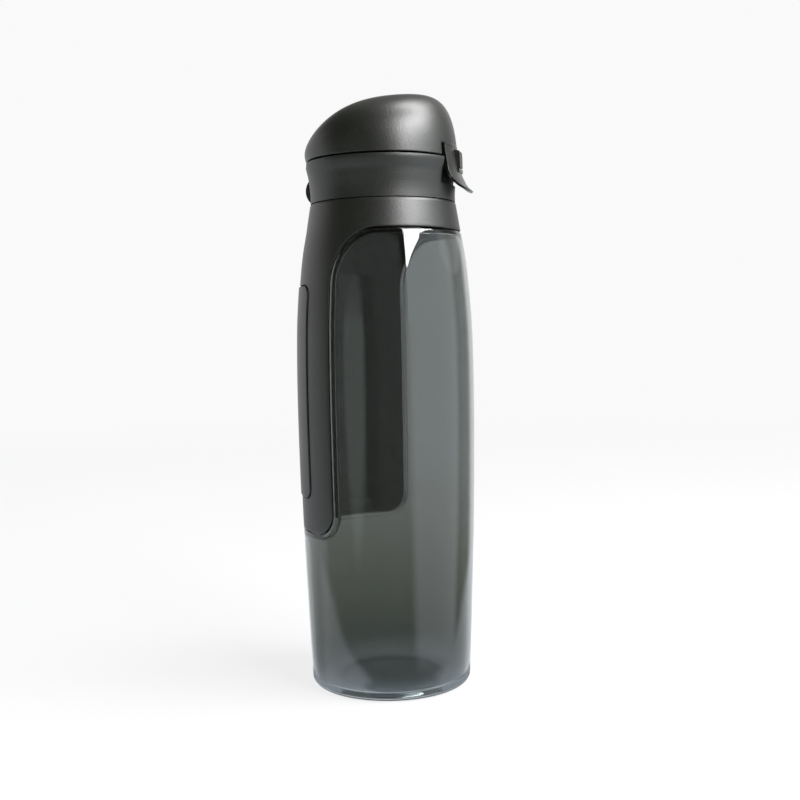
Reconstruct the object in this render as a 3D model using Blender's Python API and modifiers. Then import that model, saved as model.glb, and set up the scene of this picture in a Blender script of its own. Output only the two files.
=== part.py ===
"""Sports bottle with a flip top lid and a card compartment in its side.

The file models every separate piece of the bottle at its real size, in metres, with +Z up.
The bottle's axis is the Z axis and the bottle stands on the plane Z = 0. The compartment faces -X.
"""

import math

import bmesh
import bpy
import numpy as np
from mathutils import Matrix, Vector

# Clearances shared by pieces that fit each other
FIT_GAP = 0.0003
CUT_OVERRUN = 0.003
WELD_REACH = 0.000002
BOTTLE_CUT_SHARE = 0.45
SEAT_CUT_SHARE = 0.50
OPENING_CUT_SHARE = 0.42
TURN_STEPS = 48
SMOOTH_ANGLE = math.radians(32)

# Clear bottle
BOTTLE_RADIUS = 0.03965
SHOULDER_HEIGHT = 0.2155
BOTTLE_WALL = 0.0020
BASE_CORNER = 0.0034
BASE_FLOOR = 0.0028
PUNT_RADIUS_SHARE = 0.605
PUNT_SLOPE = 0.0020
PUNT_DEPTH = 0.0018
NECK_RADIUS_SHARE = 0.7163
NECK_RISE = 0.0129
NECK_WALL = 0.0022
NECK_ROOT_RISE = 0.0030
SHOULDER_EDGE = 0.0012
NECK_RADIUS = BOTTLE_RADIUS * NECK_RADIUS_SHARE
NECK_TOP = SHOULDER_HEIGHT + NECK_RISE
PUNT_RADIUS = BOTTLE_RADIUS * PUNT_RADIUS_SHARE

# The outer form shared by bottle, shell and collar: height share, radius share
BODY_SHARES = (
    (0.0209, 0.9092), (0.0835, 0.9269), (0.1856, 0.9483), (0.3016, 0.9718),
    (0.4362, 0.9899), (0.5940, 1.0000), (0.6914, 0.9962), (0.7610, 0.9846),
    (0.8167, 0.9634), (0.8631, 0.9407), (0.9049, 0.9105), (0.9420, 0.8726),
    (0.9675, 0.8499), (1.0000, 0.8197),
)

# Collar and half round shell, one moulding
SHELL_THICKNESS = 0.0026
SHELL_HALF_ANGLE = math.radians(77)
SHELL_BOTTOM_SHARE = 0.3313
SHELL_CORNER = 0.0100
SHELL_FILLET = 0.0240
COLLAR_BOTTOM_SHARE = 0.9420
COLLAR_FLANGE = 0.0020
COLLAR_LAP = 0.0006
COLLAR_BORE_GAP = 0.00035
SHELL_BOTTOM = SHOULDER_HEIGHT * SHELL_BOTTOM_SHARE
COLLAR_BOTTOM = SHOULDER_HEIGHT * COLLAR_BOTTOM_SHARE

# Door of the compartment
DOOR_HALF_ANGLE = math.radians(55.5)
DOOR_BOTTOM_SHARE = 0.4014
DOOR_HEIGHT_SHARE = 0.4311
DOOR_CORNER = 0.0045
DOOR_GAP = 0.0004
DOOR_SEAT = 0.0015
DOOR_PROUD = 0.0005
LEDGE_WIDTH = 0.0030
DOOR_BOTTOM = SHOULDER_HEIGHT * DOOR_BOTTOM_SHARE
DOOR_HEIGHT = SHOULDER_HEIGHT * DOOR_HEIGHT_SHARE

# Compartment pressed into the bottle's side
POCKET_BACK_SHARE = 0.5044
POCKET_MARGIN_LOW = 0.0085
POCKET_MARGIN_HIGH = 0.0040
POCKET_CORNER = 0.0050
POCKET_BACK = BOTTLE_RADIUS * POCKET_BACK_SHARE
POCKET_BOTTOM = DOOR_BOTTOM - POCKET_MARGIN_LOW
POCKET_TOP = DOOR_BOTTOM + DOOR_HEIGHT + POCKET_MARGIN_HIGH

# Door hinge, on the edge away from the catch
HINGE_MARGIN_SHARE = 0.089
HINGE_LENGTH_SHARE = 0.630
HINGE_KNUCKLES = 5
KNUCKLE_RADIUS = 0.00145
KNUCKLE_GAP = 0.0004
HINGE_AXIS_DEPTH = 0.00105
HINGE_AXIS_OFFSET = 0.0026
HINGE_PIN_RADIUS = 0.00065
HINGE_LEAF_BACK = 0.0008
HINGE_LEAF_FRONT = 0.0005
HINGE_LEAF_LAP = 0.0007
FRAME_EDGE_RELIEF = 0.0022
HINGE_BOTTOM = DOOR_BOTTOM + DOOR_HEIGHT * HINGE_MARGIN_SHARE
HINGE_LENGTH = DOOR_HEIGHT * HINGE_LENGTH_SHARE
HINGE_AXIS_RADIUS = BOTTLE_RADIUS - HINGE_AXIS_DEPTH

# Snap hook inside the door's free edge
CATCH_GAP = 0.0004
CATCH_THICKNESS = 0.0012
CATCH_LENGTH = 0.0120
CATCH_ROOT = 0.0076
CATCH_END_GAP = 0.0004
CATCH_NIB = 0.0014
CATCH_NIB_HEIGHT = 0.0009
CATCH_HEIGHT_SHARE = 0.498
CATCH_HEIGHT = DOOR_BOTTOM + DOOR_HEIGHT * CATCH_HEIGHT_SHARE

# Screw cap that carries the spout and the dome
LID_TURN = math.radians(11.5)
CAP_RADIUS_SHARE = 0.8575
CAP_FOOT_SHARE = 0.8146
CAP_HEIGHT = 0.0182
CAP_WALL = 0.0022
DECK_DROP = 0.0017
DECK_THICKNESS = 0.0018
CAP_WAIST_SHARES = (
    (1.00, 1.0040), (0.95, 1.0060), (0.82, 0.9940), (0.68, 0.9765), (0.51, 0.9645),
    (0.35, 0.9545), (0.18, 0.9500), (0.00, 0.9510),
)
RIM_WIDTH = 0.0026
CAP_RADIUS = BOTTLE_RADIUS * CAP_RADIUS_SHARE
CAP_BOTTOM_RADIUS = BOTTLE_RADIUS * CAP_FOOT_SHARE
CAP_TOP = SHOULDER_HEIGHT + CAP_HEIGHT
DECK_TOP = CAP_TOP - DECK_DROP

# Gasket between the cap and the bottle's neck
GASKET_WIDTH = 0.0019
GASKET_INSET = 0.0002

# Drinking spout
SPOUT_X = 0.0030
SPOUT_RADIUS = 0.0100
SPOUT_TOP_RADIUS = 0.0090
SPOUT_BORE = 0.0070
SPOUT_FLANGE = 0.0125
SPOUT_FLANGE_HEIGHT = 0.0013
SPOUT_STEM = 0.0089
SPOUT_BEAD = 0.0099
SPOUT_BEAD_HEIGHT = 0.0012
SPOUT_LIP = 0.0008
SPOUT_HEADROOM = 0.01019

# Dome that flips over the spout
DOME_INSET = 0.0001
DOME_GAP = 0.0006
DOME_HEIGHT = 0.02639
DOME_WALL = 0.0020
DOME_EXPONENT = 3.034
DOME_FRONT_DRAFT = 0.0779
DOME_BACK_SWELL = 0.0961
DOME_PROFILE_STEPS = 10
ROOF_SHARES = (1.0000, 0.2155, -0.1381, 0.2916)
DOME_RADIUS = CAP_RADIUS - DOME_INSET
DOME_BOTTOM = CAP_TOP + DOME_GAP
SPOUT_TOP = DOME_BOTTOM + DOME_HEIGHT - SPOUT_HEADROOM

# Hinge between cap and dome
LID_HINGE_INSET = 0.0035
LID_HINGE_RISE = 0.0026
LID_KNUCKLE_RADIUS = 0.0030
LID_PIN_RADIUS = 0.0010
LID_PIN_HEAD = 0.0004
LID_EAR_INNER = 0.0045
LID_EAR_OUTER = 0.0082
LID_KNUCKLE_HALF = 0.0042
LID_EAR_BACK = 0.0005
LID_NOTCH_RADIUS = 0.0054
LID_NOTCH_HALF = 0.0143
DOME_SLOT_RISE = 0.0035
DOME_WEB_FRONT = 0.0018
DOME_WEB_BACK = 0.0016
DOME_WEB_RISE = 0.0066
LID_HINGE_X = LID_HINGE_INSET - DOME_RADIUS
LID_HINGE_Z = DOME_BOTTOM + LID_HINGE_RISE

# Silicone seal under the dome, pressed on a boss
SEAL_RADIUS = 0.0096
SEAL_THICKNESS = 0.0032
SEAL_NUB_RADIUS = 0.0056
SEAL_NUB = 0.0013
BOSS_RADIUS = 0.0040
BOSS_DEPTH = 0.0021
ROOF_BITE = 0.0010

# Latch tongue at the front of the dome
TONGUE_RISE = 0.0050
TONGUE_LENGTH = 0.01946
TONGUE_FLARE = 0.0070
TONGUE_HALF = 0.01335
TONGUE_STRAIGHT = 0.0122
TONGUE_THICKNESS = 0.0017
TONGUE_SLIT = 0.0009
TONGUE_SHARES = (
    (0.000, -0.050), (0.192, 0.021), (0.365, 0.120), (0.519, 0.193), (0.644, 0.300),
    (0.750, 0.435), (0.874, 0.625), (0.945, 0.800), (1.000, 1.000),
)
WINDOW_HALF = 0.0042
WINDOW_DROP = 0.0097
WINDOW_HEIGHT = 0.0084
TONGUE_BAR_HEIGHT = 0.0016
TONGUE_BAR_REACH = 0.0023
TONGUE_TOP = DOME_BOTTOM + TONGUE_RISE
WINDOW_BOTTOM = TONGUE_TOP - WINDOW_DROP

# Catch hook and tongue seat on the cap
SEAT_DEPTH = 0.0027
SEAT_HALF = 0.0142
SEAT_DROP = 0.0112
HOOK_HALF = 0.0033
HOOK_BITE = 0.0017
HOOK_WINDOW_GAP = 0.0006
HOOK_LOW_REACH = 0.0024
HOOK_HIGH_REACH = 0.0015
HOOK_CORNER = 0.0012
SEAT_RADIUS = CAP_RADIUS - SEAT_DEPTH
SEAT_BOTTOM = CAP_TOP - SEAT_DROP
HOOK_ROOT = SEAT_RADIUS - HOOK_BITE
HOOK_BOTTOM = WINDOW_BOTTOM + HOOK_WINDOW_GAP
HOOK_TOP = WINDOW_BOTTOM + WINDOW_HEIGHT - HOOK_WINDOW_GAP

# Strap eyelet behind the cap
EYELET_RADIUS = 0.0050
EYELET_PROUD = 0.0025
EYELET_FOOT = 0.0011
EYELET_HALF = 0.0013
EYELET_HOLE = 0.0012
EYELET_RIM = 0.0012
EYELET_REACH = CAP_RADIUS + EYELET_PROUD
EYELET_HEIGHT = SHOULDER_HEIGHT + EYELET_FOOT + EYELET_RADIUS

# Colours, linear RGB
SMOKE = (0.30, 0.32, 0.31, 1.0)
CHARCOAL = (0.040, 0.041, 0.045, 1.0)
SOFT_GREY = (0.18, 0.19, 0.20, 1.0)
STEEL = (0.55, 0.55, 0.56, 1.0)


def clear_scene():
    """Remove whatever the file held before."""
    for old in list(bpy.data.objects):
        bpy.data.objects.remove(old, do_unlink=True)


def make_collection(name):
    """A new collection, linked to the scene."""
    collection = bpy.data.collections.new(name)
    bpy.context.scene.collection.children.link(collection)
    return collection


def make_material(name, colour, roughness, metallic=0.0, transmission=0.0):
    """A Principled material with one colour."""
    material = bpy.data.materials.new(name)
    material.use_nodes = True
    shader = material.node_tree.nodes["Principled BSDF"]
    shader.inputs["Base Color"].default_value = colour
    shader.inputs["Roughness"].default_value = roughness
    shader.inputs["Metallic"].default_value = metallic
    shader.inputs["Transmission Weight"].default_value = transmission
    return material


def link_mesh(name, bm, collection, material=None):
    """Turn a bmesh into a named object with its faces pointing out."""
    if bm.faces:
        bmesh.ops.recalc_face_normals(bm, faces=bm.faces)
    mesh = bpy.data.meshes.new(name)
    bm.to_mesh(mesh)
    bm.free()
    if material:
        mesh.materials.append(material)
    piece = bpy.data.objects.new(name, mesh)
    collection.objects.link(piece)
    return piece


def hide_cutter(tool):
    """Cutters stay in the file as wires and are left out of the model."""
    tool.hide_render = True
    tool.display_type = "WIRE"
    return tool


def combine(piece, tool, operation):
    """Cut a tool from a piece, or join it to the piece."""
    modifier = piece.modifiers.new(tool.name, "BOOLEAN")
    modifier.operation = operation
    modifier.solver = "EXACT"
    modifier.object = tool
    weld = piece.modifiers.new(f"weld_{tool.name}", "WELD")
    weld.merge_threshold = WELD_REACH


def cut(piece, *tools):
    """Take each tool's volume away from a piece."""
    for tool in tools:
        combine(piece, tool, "DIFFERENCE")


def join(piece, *tools):
    """Add each tool's volume to a piece."""
    for tool in tools:
        combine(piece, tool, "UNION")


def turned(name, profile, collection, material=None, closed=False, steps=TURN_STEPS, start=0.0):
    """A turned solid from (radius, height) points that run down its outer side."""
    bm = bmesh.new()
    across, along = math.cos(start), math.sin(start)
    verts = [bm.verts.new((radius * across, radius * along, height)) for radius, height in profile]
    for first, second in zip(verts, verts[1:]):
        bm.edges.new((first, second))
    if closed:
        bm.edges.new((verts[-1], verts[0]))
    piece = link_mesh(name, bm, collection, material)
    screw = piece.modifiers.new("turn", "SCREW")
    screw.angle = math.tau
    screw.steps = steps
    screw.render_steps = steps
    screw.use_merge_vertices = True
    screw.merge_threshold = FIT_GAP / TURN_STEPS
    return piece


def box(name, low, high, collection):
    """A box between two corners."""
    bm = bmesh.new()
    bmesh.ops.create_cube(bm, size=1.0)
    low, high = Vector(low), Vector(high)
    middle = (low + high) / 2
    size = high - low
    for vert in bm.verts:
        vert.co = Vector(place + part * width for place, part, width in zip(middle, vert.co, size))
    return link_mesh(name, bm, collection)


def rods(name, radius, spans, axis, centre, collection, segments=24, material=None):
    """Round bars of one radius on one line, one for each (start, end) along the axis."""
    bm = bmesh.new()
    turn = {"X": Matrix.Rotation(math.pi / 2, 4, "Y"), "Y": Matrix.Rotation(math.pi / 2, 4, "X"),
            "Z": Matrix.Identity(4)}[axis]
    direction = {"X": Vector((1, 0, 0)), "Y": Vector((0, 1, 0)), "Z": Vector((0, 0, 1))}[axis]
    for start, end in spans:
        place = Vector(centre) + direction * (start + end) / 2
        bmesh.ops.create_cone(bm, cap_ends=True, segments=segments, radius1=radius, radius2=radius,
                              depth=end - start, matrix=Matrix.Translation(place) @ turn)
    return link_mesh(name, bm, collection, material)


def prism(name, outline, low, high, axis, collection, material=None):
    """A flat outline pushed along one axis, between two places on it."""
    bm = bmesh.new()
    order = {"X": (2, 0, 1), "Y": (0, 2, 1), "Z": (0, 1, 2)}[axis]
    verts = []
    for across, up in outline:
        values = (across, up, low)
        verts.append(bm.verts.new([values[index] for index in order]))
    face = bm.faces.new(verts)
    pushed = bmesh.ops.extrude_face_region(bm, geom=[face])
    step = {"X": (high - low, 0, 0), "Y": (0, high - low, 0), "Z": (0, 0, high - low)}[axis]
    moved = [item for item in pushed["geom"] if isinstance(item, bmesh.types.BMVert)]
    bmesh.ops.translate(bm, vec=step, verts=moved)
    return link_mesh(name, bm, collection, material)


def arc(centre_across, centre_up, radius, start, end, steps):
    """Points on an arc between two angles in degrees."""
    angles = np.radians(np.linspace(start, end, steps + 1))
    return [(centre_across + radius * math.cos(a), centre_up + radius * math.sin(a)) for a in angles]


def rounded_outline(half_width, bottom, top, corner, steps=4):
    """A rounded rectangle, half_width to each side of the middle."""
    inner = half_width - corner
    return (arc(inner, bottom + corner, corner, -90, 0, steps)
            + arc(inner, top - corner, corner, 0, 90, steps)
            + arc(-inner, top - corner, corner, 90, 180, steps)
            + arc(-inner, bottom + corner, corner, 180, 270, steps))


def body_radius(height):
    """Outer radius of bottle, shell and collar at a height."""
    heights = [share * SHOULDER_HEIGHT for share, _ in BODY_SHARES]
    radii = [share * BOTTLE_RADIUS for _, share in BODY_SHARES]
    return float(np.interp(height, heights, radii))


def body_levels(low, high):
    """Heights of the outer form's own points between two heights."""
    heights = [share * SHOULDER_HEIGHT for share, _ in BODY_SHARES]
    return [height for height in heights if low < height < high]


def on_body(height, depth):
    """Radius and height of a point at a depth over the outer form."""
    return body_radius(height) + depth, height


def tongue_point(height):
    """Radius of the tongue's outer face at a height."""
    heights = [TONGUE_TOP - share * TONGUE_LENGTH for share, _ in TONGUE_SHARES]
    radii = [DOME_RADIUS + share * TONGUE_FLARE for _, share in TONGUE_SHARES]
    return float(np.interp(height, heights[::-1], radii[::-1]))


def on_tongue(height, depth):
    """Radius and height of a point at a depth square to the tongue's face."""
    reach = TONGUE_LENGTH / TURN_STEPS
    low = max(height - reach, TONGUE_TOP - TONGUE_LENGTH)
    high = min(height + reach, TONGUE_TOP)
    run = tongue_point(high) - tongue_point(low)
    rise = high - low
    length = math.hypot(run, rise)
    return tongue_point(height) + depth * rise / length, height - depth * run / length


def facet_share(turn, shift):
    """Share of a true circle's radius at a turn, on a ring of flat facets."""
    step = math.tau / TURN_STEPS
    place = (turn / step - shift) % 1.0
    return math.cos(step / 2) / math.cos((place - 1 / 2) * step)


def wrapped(name, outline, low, high, form, levels, radius, facing, collection, material=None,
            ring=False, shift=0.0):
    """A flat outline (arc length, height) bent round an axis.

    low and high are its inner and outer depth over the form. It is split at even turns and at the
    form's levels before it is bent, so that it is made of flat facets like the turned pieces. A
    ring has its two ends welded to each other. A cutter's facets are shifted by nearly half a facet.
    """
    bm = bmesh.new()
    face = bm.faces.new([bm.verts.new((across, low, up)) for across, up in outline])
    pushed = bmesh.ops.extrude_face_region(bm, geom=[face])
    moved = [item for item in pushed["geom"] if isinstance(item, bmesh.types.BMVert)]
    bmesh.ops.translate(bm, vec=(0, high - low, 0), verts=moved)
    step = radius * math.tau / TURN_STEPS
    reach = max(abs(across) for across, _ in outline)
    count = int(reach / step) + 1
    planes = [(((index + shift) * step, 0, 0), (1, 0, 0)) for index in range(-count, count + 1)]
    planes += [((0, 0, level), (0, 0, 1)) for level in levels]
    for point, normal in planes:
        geometry = list(bm.verts) + list(bm.edges) + list(bm.faces)
        bmesh.ops.bisect_plane(bm, geom=geometry, dist=FIT_GAP / TURN_STEPS, plane_co=point,
                               plane_no=normal)
    if ring:
        ends = [face for face in bm.faces
                if all(abs(abs(vert.co.x) - reach) < FIT_GAP for vert in face.verts)]
        bmesh.ops.delete(bm, geom=ends, context="FACES")
    for vert in bm.verts:
        turn = vert.co.x / radius
        distance, height = form(vert.co.z, vert.co.y)
        distance *= facet_share(turn, shift)
        vert.co = (distance * math.cos(facing + turn), distance * math.sin(facing + turn), height)
    bmesh.ops.remove_doubles(bm, verts=bm.verts, dist=FIT_GAP / TURN_STEPS)
    return link_mesh(name, bm, collection, material)


def on_side(name, outline, low, high, collection, material=None, ring=False,
            shift=SEAT_CUT_SHARE):
    """An outline bent round the bottle, with its middle facing -X."""
    bottom = min(up for _, up in outline)
    top = max(up for _, up in outline)
    shift = 0.0 if material else shift
    piece = wrapped(name, outline, low, high, on_body, body_levels(bottom, top), BOTTLE_RADIUS,
                    math.pi, collection, material, ring, shift)
    return piece if material else hide_cutter(piece)


def shell_outline(grow, top, ring=False):
    """Edge of the shell, grown by a distance, up to a height in the collar."""
    half = SHELL_HALF_ANGLE * BOTTLE_RADIUS + grow
    bottom = SHELL_BOTTOM - grow
    corner = SHELL_CORNER + grow
    fillet = SHELL_FILLET - grow
    line = COLLAR_BOTTOM - grow
    right = arc(half - corner, bottom + corner, corner, -90, 0, 6)
    right += arc(half + fillet, line - fillet, fillet, 180, 90 if ring else 96, 8)
    if ring:
        right.append((math.pi * BOTTLE_RADIUS, line))
    right.append((right[-1][0], top))
    left = [(-across, up) for across, up in reversed(right)]
    return right + left


def set_origin(piece, point):
    """Move a piece's origin to a point and keep its shape in place."""
    piece.data.transform(Matrix.Translation(-Vector(point)))
    piece.location = point


def build_bottle(parts, cutters, material):
    """Blow moulded clear body: foot, side, stepped recess for the shell, pocket and neck."""
    seat_depth = SHELL_THICKNESS + FIT_GAP
    step = COLLAR_BOTTOM - FIT_GAP
    edge = body_radius(step)
    shoulder = edge - seat_depth - BOTTLE_WALL / 10
    foot = body_radius(BASE_CORNER) - BASE_CORNER
    outer = [(0.0, NECK_TOP), (NECK_RADIUS, NECK_TOP), (NECK_RADIUS, step + NECK_ROOT_RISE),
             (shoulder, step), (edge - SHOULDER_EDGE, step)]
    outer += arc(edge - SHOULDER_EDGE, step - SHOULDER_EDGE, SHOULDER_EDGE, 60, 0, 2)
    outer += [(body_radius(level), level) for level in reversed(body_levels(0.0, step - SHOULDER_EDGE))]
    outer += arc(foot, BASE_CORNER, BASE_CORNER, -18, -90, 4)
    outer += [(PUNT_RADIUS, 0.0), (PUNT_RADIUS - PUNT_SLOPE, PUNT_DEPTH), (0.0, PUNT_DEPTH)]
    bottle = turned("bottle_body", outer, parts, material)

    bore = NECK_RADIUS - NECK_WALL
    floor = PUNT_DEPTH + BASE_FLOOR
    inner_top = step - SHOULDER_EDGE - BOTTLE_WALL
    inner = [(0.0, NECK_TOP + CUT_OVERRUN), (bore, NECK_TOP + CUT_OVERRUN),
             (bore, step + NECK_ROOT_RISE - NECK_WALL), (shoulder - NECK_WALL, step - BOTTLE_WALL),
             (body_radius(inner_top) - BOTTLE_WALL, inner_top)]
    levels = body_levels(floor + BASE_CORNER, inner_top)
    inner += [(body_radius(level) - BOTTLE_WALL, level) for level in reversed(levels)]
    corner_radius = body_radius(floor + BASE_CORNER) - BOTTLE_WALL
    inner += arc(corner_radius - BASE_CORNER, floor + BASE_CORNER, BASE_CORNER, 0, -90, 4)
    inner.append((0.0, floor))
    cavity = hide_cutter(turned("cavity", inner, cutters, start=math.pi / TURN_STEPS))

    top = COLLAR_BOTTOM + CUT_OVERRUN
    recess = on_side("recess", shell_outline(FIT_GAP, top), -seat_depth, CUT_OVERRUN, cutters,
                     shift=BOTTLE_CUT_SHARE)
    recess_wall = on_side("recess_wall", shell_outline(FIT_GAP + BOTTLE_WALL, top),
                          -seat_depth - BOTTLE_WALL, CUT_OVERRUN, cutters, shift=BOTTLE_CUT_SHARE)
    outside = BOTTLE_RADIUS + CUT_OVERRUN
    pocket_outline = rounded_outline(BOTTLE_RADIUS, POCKET_BOTTOM, POCKET_TOP, POCKET_CORNER)
    pocket = hide_cutter(prism("pocket", pocket_outline, -outside, -POCKET_BACK, "X", cutters))
    wall_outline = rounded_outline(BOTTLE_RADIUS + BOTTLE_WALL, POCKET_BOTTOM - BOTTLE_WALL,
                                   POCKET_TOP + BOTTLE_WALL, POCKET_CORNER + BOTTLE_WALL)
    pocket_wall = hide_cutter(prism("pocket_wall", wall_outline, -outside,
                                    BOTTLE_WALL - POCKET_BACK, "X", cutters))
    cut(cavity, recess_wall, pocket_wall)
    cut(bottle, recess, pocket, cavity)
    return bottle


def hinge_spans(offset):
    """Start and end heights of every other knuckle of the door hinge."""
    pitch = HINGE_LENGTH / HINGE_KNUCKLES
    spans = []
    for index in range(offset, HINGE_KNUCKLES, 2):
        start = HINGE_BOTTOM + index * pitch
        spans.append((start + KNUCKLE_GAP / 2, start + pitch - KNUCKLE_GAP / 2))
    return spans


def door_hinge_place():
    """Arc length and angle of the door hinge's axis."""
    along = -DOOR_HALF_ANGLE * BOTTLE_RADIUS - HINGE_AXIS_OFFSET
    return along, math.pi + along / BOTTLE_RADIUS


def hinge_leaves(name, spans, start, end, collection):
    """Flat webs that tie knuckles to their piece, between two places along the arc."""
    angle = door_hinge_place()[1]
    middle = (HINGE_LEAF_FRONT - HINGE_LEAF_BACK) / 2
    bm = bmesh.new()
    for low, high in spans:
        size = (end - start, HINGE_LEAF_BACK + HINGE_LEAF_FRONT, high - low - FIT_GAP)
        place = Vector(((start + end) / 2, middle, (low + high) / 2))
        shape = Matrix.Translation(place) @ Matrix.Diagonal((*size, 1.0))
        bmesh.ops.create_cube(bm, size=1.0, matrix=shape)
    radial = Vector((math.cos(angle), math.sin(angle), 0))
    tangent = Vector((-math.sin(angle), math.cos(angle), 0))
    rise = Vector((0, 0, 1))
    for vert in bm.verts:
        along, out, up = vert.co
        vert.co = radial * (HINGE_AXIS_RADIUS + out) + tangent * along + rise * up
    return hide_cutter(link_mesh(name, bm, collection))


def door_edges():
    """Half width, bottom and top of the door's outline."""
    return DOOR_HALF_ANGLE * BOTTLE_RADIUS, DOOR_BOTTOM, DOOR_BOTTOM + DOOR_HEIGHT


def build_shell(parts, cutters, material):
    """Collar and half shell: frame of the door, its ledge, and the fixed knuckles of its hinge."""
    shell = on_side("storage_shell", shell_outline(0.0, SHOULDER_HEIGHT, ring=True), -SHELL_THICKNESS,
                    0.0, parts, material, ring=True)
    bore = NECK_RADIUS + COLLAR_BORE_GAP
    flange_edge = body_radius(SHOULDER_HEIGHT) - SHELL_THICKNESS + COLLAR_LAP
    low = SHOULDER_HEIGHT - COLLAR_FLANGE
    high = SHOULDER_HEIGHT
    flange_profile = [(bore, high), (flange_edge, high), (flange_edge, low), (bore, low)]
    flange = hide_cutter(turned("collar_flange", flange_profile, cutters, closed=True,
                                start=math.pi / TURN_STEPS))

    half, bottom, top = door_edges()
    seat_outline = rounded_outline(half + DOOR_GAP, bottom - DOOR_GAP, top + DOOR_GAP,
                                   DOOR_CORNER + DOOR_GAP)
    seat = on_side("door_seat", seat_outline, -DOOR_SEAT, CUT_OVERRUN, cutters)
    inset = LEDGE_WIDTH - DOOR_GAP
    opening_outline = rounded_outline(half - inset, bottom + inset, top - inset, DOOR_CORNER)
    through = -SHELL_THICKNESS - CUT_OVERRUN
    opening = on_side("door_opening", opening_outline, through, CUT_OVERRUN, cutters,
                      shift=OPENING_CUT_SHARE)
    along, angle = door_hinge_place()
    start = along - FRAME_EDGE_RELIEF
    end = along + HINGE_AXIS_OFFSET + LEDGE_WIDTH
    low = HINGE_BOTTOM - KNUCKLE_GAP
    high = HINGE_BOTTOM + HINGE_LENGTH + KNUCKLE_GAP
    bay_outline = [(start, low), (end, low), (end, high), (start, high)]
    bay = on_side("hinge_bay", bay_outline, through, CUT_OVERRUN, cutters)
    centre = (HINGE_AXIS_RADIUS * math.cos(angle), HINGE_AXIS_RADIUS * math.sin(angle), 0.0)
    knuckles = hide_cutter(rods("shell_knuckles", KNUCKLE_RADIUS, hinge_spans(0), "Z", centre, cutters,
                                segments=18))
    leaves = hinge_leaves("shell_leaves", hinge_spans(0), -FRAME_EDGE_RELIEF - HINGE_LEAF_LAP, 0.0,
                          cutters)
    bore_span = [(HINGE_BOTTOM - KNUCKLE_GAP / 2, HINGE_BOTTOM + HINGE_LENGTH + KNUCKLE_GAP / 2)]
    pin_bore = hide_cutter(rods("door_pin_bore", HINGE_PIN_RADIUS + FIT_GAP, bore_span, "Z", centre,
                                cutters, segments=12))
    join(shell, flange)
    cut(shell, seat, opening, bay)
    join(shell, leaves, knuckles)
    cut(shell, pin_bore)
    return shell, centre, pin_bore


def build_door(parts, cutters, material, centre, pin_bore):
    """Curved door with its hinge knuckles and the snap hook of its free edge."""
    half, bottom, top = door_edges()
    door = on_side("storage_door", rounded_outline(half, bottom, top, DOOR_CORNER),
                   FIT_GAP - DOOR_SEAT, DOOR_PROUD, parts, material)
    knuckles = hide_cutter(rods("door_knuckles", KNUCKLE_RADIUS, hinge_spans(1), "Z", centre, cutters,
                                segments=18))
    leaves = hinge_leaves("door_leaves", hinge_spans(1), 0.0, HINGE_AXIS_OFFSET + HINGE_LEAF_LAP,
                          cutters)

    low = CATCH_HEIGHT - CATCH_LENGTH / 2
    high = CATCH_HEIGHT + CATCH_LENGTH / 2
    opening = (half - LEDGE_WIDTH + DOOR_GAP) / BOTTLE_RADIUS
    edge = CATCH_GAP - math.sin(opening) * (BOTTLE_RADIUS - SHELL_THICKNESS)
    tip = -POCKET_BACK - CATCH_END_GAP
    root = tip - CATCH_ROOT
    hook_outline = [(root, edge), (tip - CATCH_NIB_HEIGHT, edge),
                    (tip - CATCH_NIB_HEIGHT, edge - CATCH_NIB), (tip, edge - CATCH_NIB / 3),
                    (tip, edge + CATCH_THICKNESS), (root, edge + CATCH_THICKNESS)]
    hook = hide_cutter(prism("door_hook", hook_outline, low, high, "Z", cutters))
    join(door, leaves, knuckles, hook)
    cut(door, pin_bore)
    set_origin(door, centre)
    return door


def build_door_pin(parts, material, centre):
    """Straight pin through all the knuckles of the door hinge."""
    span = [(HINGE_BOTTOM + KNUCKLE_GAP, HINGE_BOTTOM + HINGE_LENGTH - KNUCKLE_GAP)]
    return rods("door_hinge_pin", HINGE_PIN_RADIUS, span, "Z", centre, parts, segments=12,
                material=material)


def cap_profile():
    """Outer side of the screw cap, top to bottom, hollowed at its waist."""
    height = CAP_TOP - SHOULDER_HEIGHT - FIT_GAP
    return [(share * CAP_RADIUS, CAP_TOP - (1 - place) * height) for place, share in CAP_WAIST_SHARES]


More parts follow.
